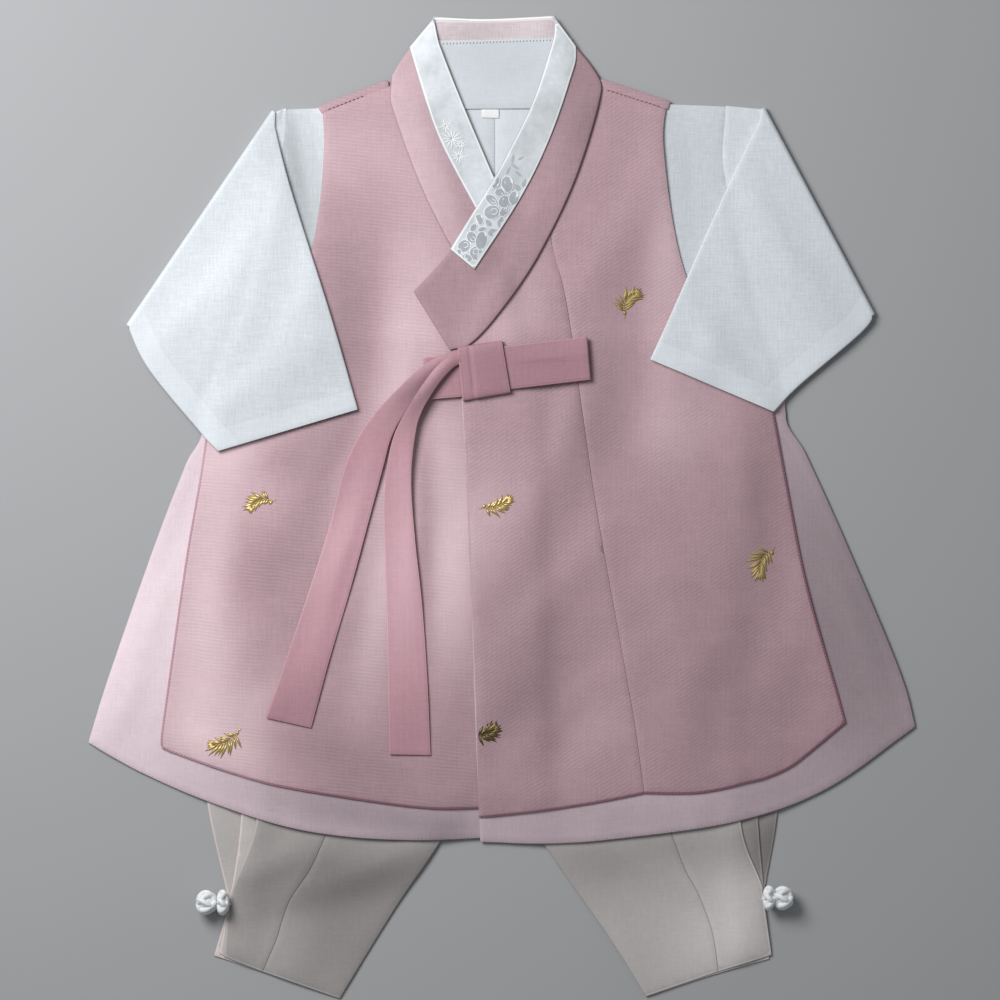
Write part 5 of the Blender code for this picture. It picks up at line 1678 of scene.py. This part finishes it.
class HANBOK_OT_sprigs(HanbokOperator, bpy.types.Operator):
    """Stamp the gold sprigs on the vest"""

    bl_idname = "hanbok.sprigs"
    bl_label = "Stamp gold sprigs"

    def execute(self, context):
        random.seed(11)
        for number, sprig in enumerate(SPRIGS):
            self.make(number + 1, sprig)
        return {"FINISHED"}

    def make(self, number, sprig):
        """A bud at the foot of a bent spine, with long narrow leaves fanned along both sides."""
        shape = bmesh.new()
        ground = top_of(sprig.on)
        run = math.radians(sprig.run)
        count = 11
        spine = []
        for k in range(count + 1):
            share = k / count
            bend = run + math.radians(sprig.bend) * (share - 0.5)
            reach = (share - 0.42) * sprig.span
            spine.append((sprig.x + reach * math.cos(bend), sprig.y + reach * math.sin(bend)))
        for k, (here, ahead) in enumerate(zip(spine, spine[1:])):
            heading = math.atan2(ahead[1] - here[1], ahead[0] - here[0])
            add_leaf(shape, ground, here, heading, sprig.span / count * 1.3, 0.8)
            if k < 2:
                continue
            grown = 0.75 + 0.5 * math.sin(math.pi * (k - 1) / (count - 1))
            for side, size in ((1, sprig.left), (-1, sprig.right)):
                spread = math.radians(34.0 + 26.0 * random.random()) * (1.35 - 0.08 * k)
                length = 1.2 * size * grown * (0.8 + 0.4 * random.random())
                add_leaf(shape, ground, here, heading + side * spread, length, 1.5 + 0.5 * random.random())
        tip = math.atan2(spine[-1][1] - spine[-2][1], spine[-1][0] - spine[-2][0])
        for fan in (-0.55, -0.28, 0.0, 0.28, 0.55):
            length = 0.5 * (sprig.left + sprig.right) * (0.8 + 0.3 * random.random())
            add_leaf(shape, ground, spine[-1], tip + fan, length, 1.6)
        add_leaf(shape, ground, spine[0], run + 0.5, 3.0, 2.2, 0.4, True)
        add_leaf(shape, ground, spine[0], run + math.pi, 2.4, 1.1)
        if sprig.on == "vest_overlap":
            keep_inside(shape, sprig.on, 0.6)
        mesh = relief_mesh(f"sprig_{number}", shape)
        make_piece(f"gold_sprig_{number}", mesh, sprig.finish, "rose_silk")


class HANBOK_OT_collar_flowers(HanbokOperator, bpy.types.Operator):
    """Work the silver-grey flowers of the upper collar strip and the white ones of the lower strip"""

    bl_idname = "hanbok.collar_flowers"
    bl_label = "Work collar flowers"

    def execute(self, context):
        self.grey_flowers()
        self.white_flowers()
        return {"FINISHED"}

    def grey_flowers(self):
        """Blunt petals of silver thread, each with a pale rim and a smaller petal on it, and leaves."""
        outline, fill = bmesh.new(), bmesh.new()
        ground = top_of("collar_strip_over")

        def lifted(level):
            return lambda x, y: ground(x, y) + level

        for order, petal in enumerate(BROCADE_PETALS):
            turn = math.radians(petal.turn)
            ahead = np.array((math.cos(turn), math.sin(turn)))
            sizes = [(PETAL_GROWTH, 0.0), (HEART_SHARE, HEART_SHIFT)] if petal.blunt else [(1.0, 0.0)]
            for growth, forward in sizes:
                length, breadth = petal.length * growth, petal.breadth * growth
                start = (petal.x, petal.y) - ahead * (0.5 - forward) * length
                if not petal.blunt:
                    add_leaf(fill, ground, start, turn, length, breadth, 0.06)
                    continue
                level = 0.02 * order + 0.03 * forward
                add_leaf(outline, lifted(level), start, turn, length, breadth, 0.06, True)
                inner = start + ahead * PETAL_RIM
                length, breadth = length - 2 * PETAL_RIM, breadth - 2 * PETAL_RIM
                add_leaf(fill, lifted(level + 0.014), inner, turn, length, breadth, 0.06, True)
        for name, part, finish in (("outline", outline, "silver_rim"), ("fill", fill, "silver")):
            keep_inside(part, "collar_strip_over", 0.9)
            mesh = relief_mesh(name, part, 0.08)
            make_piece(f"collar_brocade_{name}", mesh, finish, "white_brocade", smooth=False)

    def white_flowers(self):
        shape = bmesh.new()
        ground = top_of("collar_strip_under")
        for x, y, petals, reach in WHITE_FLOWERS:
            for k in range(petals):
                turn = 2 * math.pi * k / petals + 0.4 * x
                length = reach * (0.8 + 0.2 * math.sin(3.0 * k + y))
                add_leaf(shape, ground, (x, y), turn, length, 0.95, 0.10)
        keep_inside(shape, "collar_strip_under", 0.6)
        mesh = relief_mesh("embroidery", shape, 0.1)
        make_piece("collar_embroidery", mesh, "white_thread", "white_brocade")


class HANBOK_OT_stitches(HanbokOperator, bpy.types.Operator):
    """Sew the stitches along the finished edges, the neck facing and the shoulders"""

    bl_idname = "hanbok.stitches"
    bl_label = "Sew stitches"

    def execute(self, context):
        for hems, stitch in ((VEST_HEMS, VEST_STITCH), (COAT_HEMS, COAT_STITCH)):
            for name, places in hems.items():
                self.sew(name, [OUTLINES[name].run_past(place) for place in places], stitch)
        for lines, stitch in ((FACING_LINES, FACING_STITCH), (SHOULDER_LINES, SHOULDER_STITCH)):
            for name, line in lines.items():
                self.sew(name, [np.array(line)], stitch)
        return {"FINISHED"}

    def sew(self, name, lines, stitch):
        """Short slanted threads along lines on a panel, set in from each line to its left."""
        shape = bmesh.new()
        ground = top_of(name)
        size = Matrix.Diagonal((stitch.length / 2, stitch.radius, stitch.radius, 1.0))
        for line in lines:
            total = np.linalg.norm(np.diff(line, axis=0), axis=1).sum()
            for at in np.arange(stitch.pitch, total - stitch.pitch / 2, stitch.pitch):
                here, ahead = at_share(line, at / total), at_share(line, min(1.0, (at + 0.5) / total))
                heading = math.atan2(ahead[1] - here[1], ahead[0] - here[0])
                x = here[0] - stitch.inset * math.sin(heading)
                y = here[1] + stitch.inset * math.cos(heading)
                z = ground(x, y) + stitch.radius * 0.4 + stitch.lift
                turn = Matrix.Rotation(heading + math.radians(stitch.slant), 4, "Z")
                place = Matrix.Translation(Vector((x, y, z)) * MM) @ turn @ size
                bmesh.ops.create_icosphere(shape, subdivisions=1, radius=MM, matrix=place)
        mesh = finished_mesh(shape, f"{name}_stitches")
        make_piece(f"{name}_stitches", mesh, stitch.thread, stitch.slot)


class HANBOK_PT_panel(bpy.types.Panel):
    """Steps and sizes of the hanbok, in the 3D view's sidebar"""

    bl_idname = "HANBOK_PT_panel"
    bl_label = "Hanbok"
    bl_space_type = "VIEW_3D"
    bl_region_type = "UI"
    bl_category = "Hanbok"

    def draw(self, context):
        for group in GROUPS:
            box = self.layout.box()
            sizes = getattr(context.scene, group)
            for name in sizes.__annotations__:
                box.prop(sizes, name)
        for step in STEPS:
            self.layout.operator(step.bl_idname)


GROUPS = {"hanbok_cloth": HanbokCloth, "hanbok_colours": HanbokColours, "hanbok_stage": HanbokStage}
STEPS = (
    HANBOK_OT_stage,
    HANBOK_OT_trousers,
    HANBOK_OT_backs,
    HANBOK_OT_under_front,
    HANBOK_OT_over_front,
    HANBOK_OT_ribbon,
    HANBOK_OT_sleeves,
    HANBOK_OT_buttons,
    HANBOK_OT_sprigs,
    HANBOK_OT_collar_flowers,
    HANBOK_OT_stitches,
)
# How the names of the nodes start that aren't panels cut to an outline
LOFTED = ("sleeve_", "ribbon_", "ankle_", "trouser_waistband")
OUTLINES = {}
MATERIALS = {}
PILE = Pile()


def register():
    for kind in (*GROUPS.values(), *STEPS, HANBOK_PT_panel):
        bpy.utils.register_class(kind)
    for name, group in GROUPS.items():
        setattr(bpy.types.Scene, name, bpy.props.PointerProperty(type=group))


def unregister():
    for name in GROUPS:
        delattr(bpy.types.Scene, name)
    for kind in (HANBOK_PT_panel, *STEPS[::-1], *GROUPS.values()):
        bpy.utils.unregister_class(kind)


def clear_starting_objects():
    """Removes the objects that a new scene starts with, but nothing of the frame."""
    for thing in list(bpy.data.objects):
        if thing.name in ("Cube", "Light", "Camera"):
            bpy.data.objects.remove(thing)


def main():
    register()
    clear_starting_objects()
    OUTLINES.update({name: Outline(name) for name in frame["nodes"] if not name.startswith(LOFTED)})
    MATERIALS.update(finishes())
    for step in STEPS:
        group, name = step.bl_idname.split(".")
        getattr(getattr(bpy.ops, group), name)()


if __name__ == "__main__":
    main()
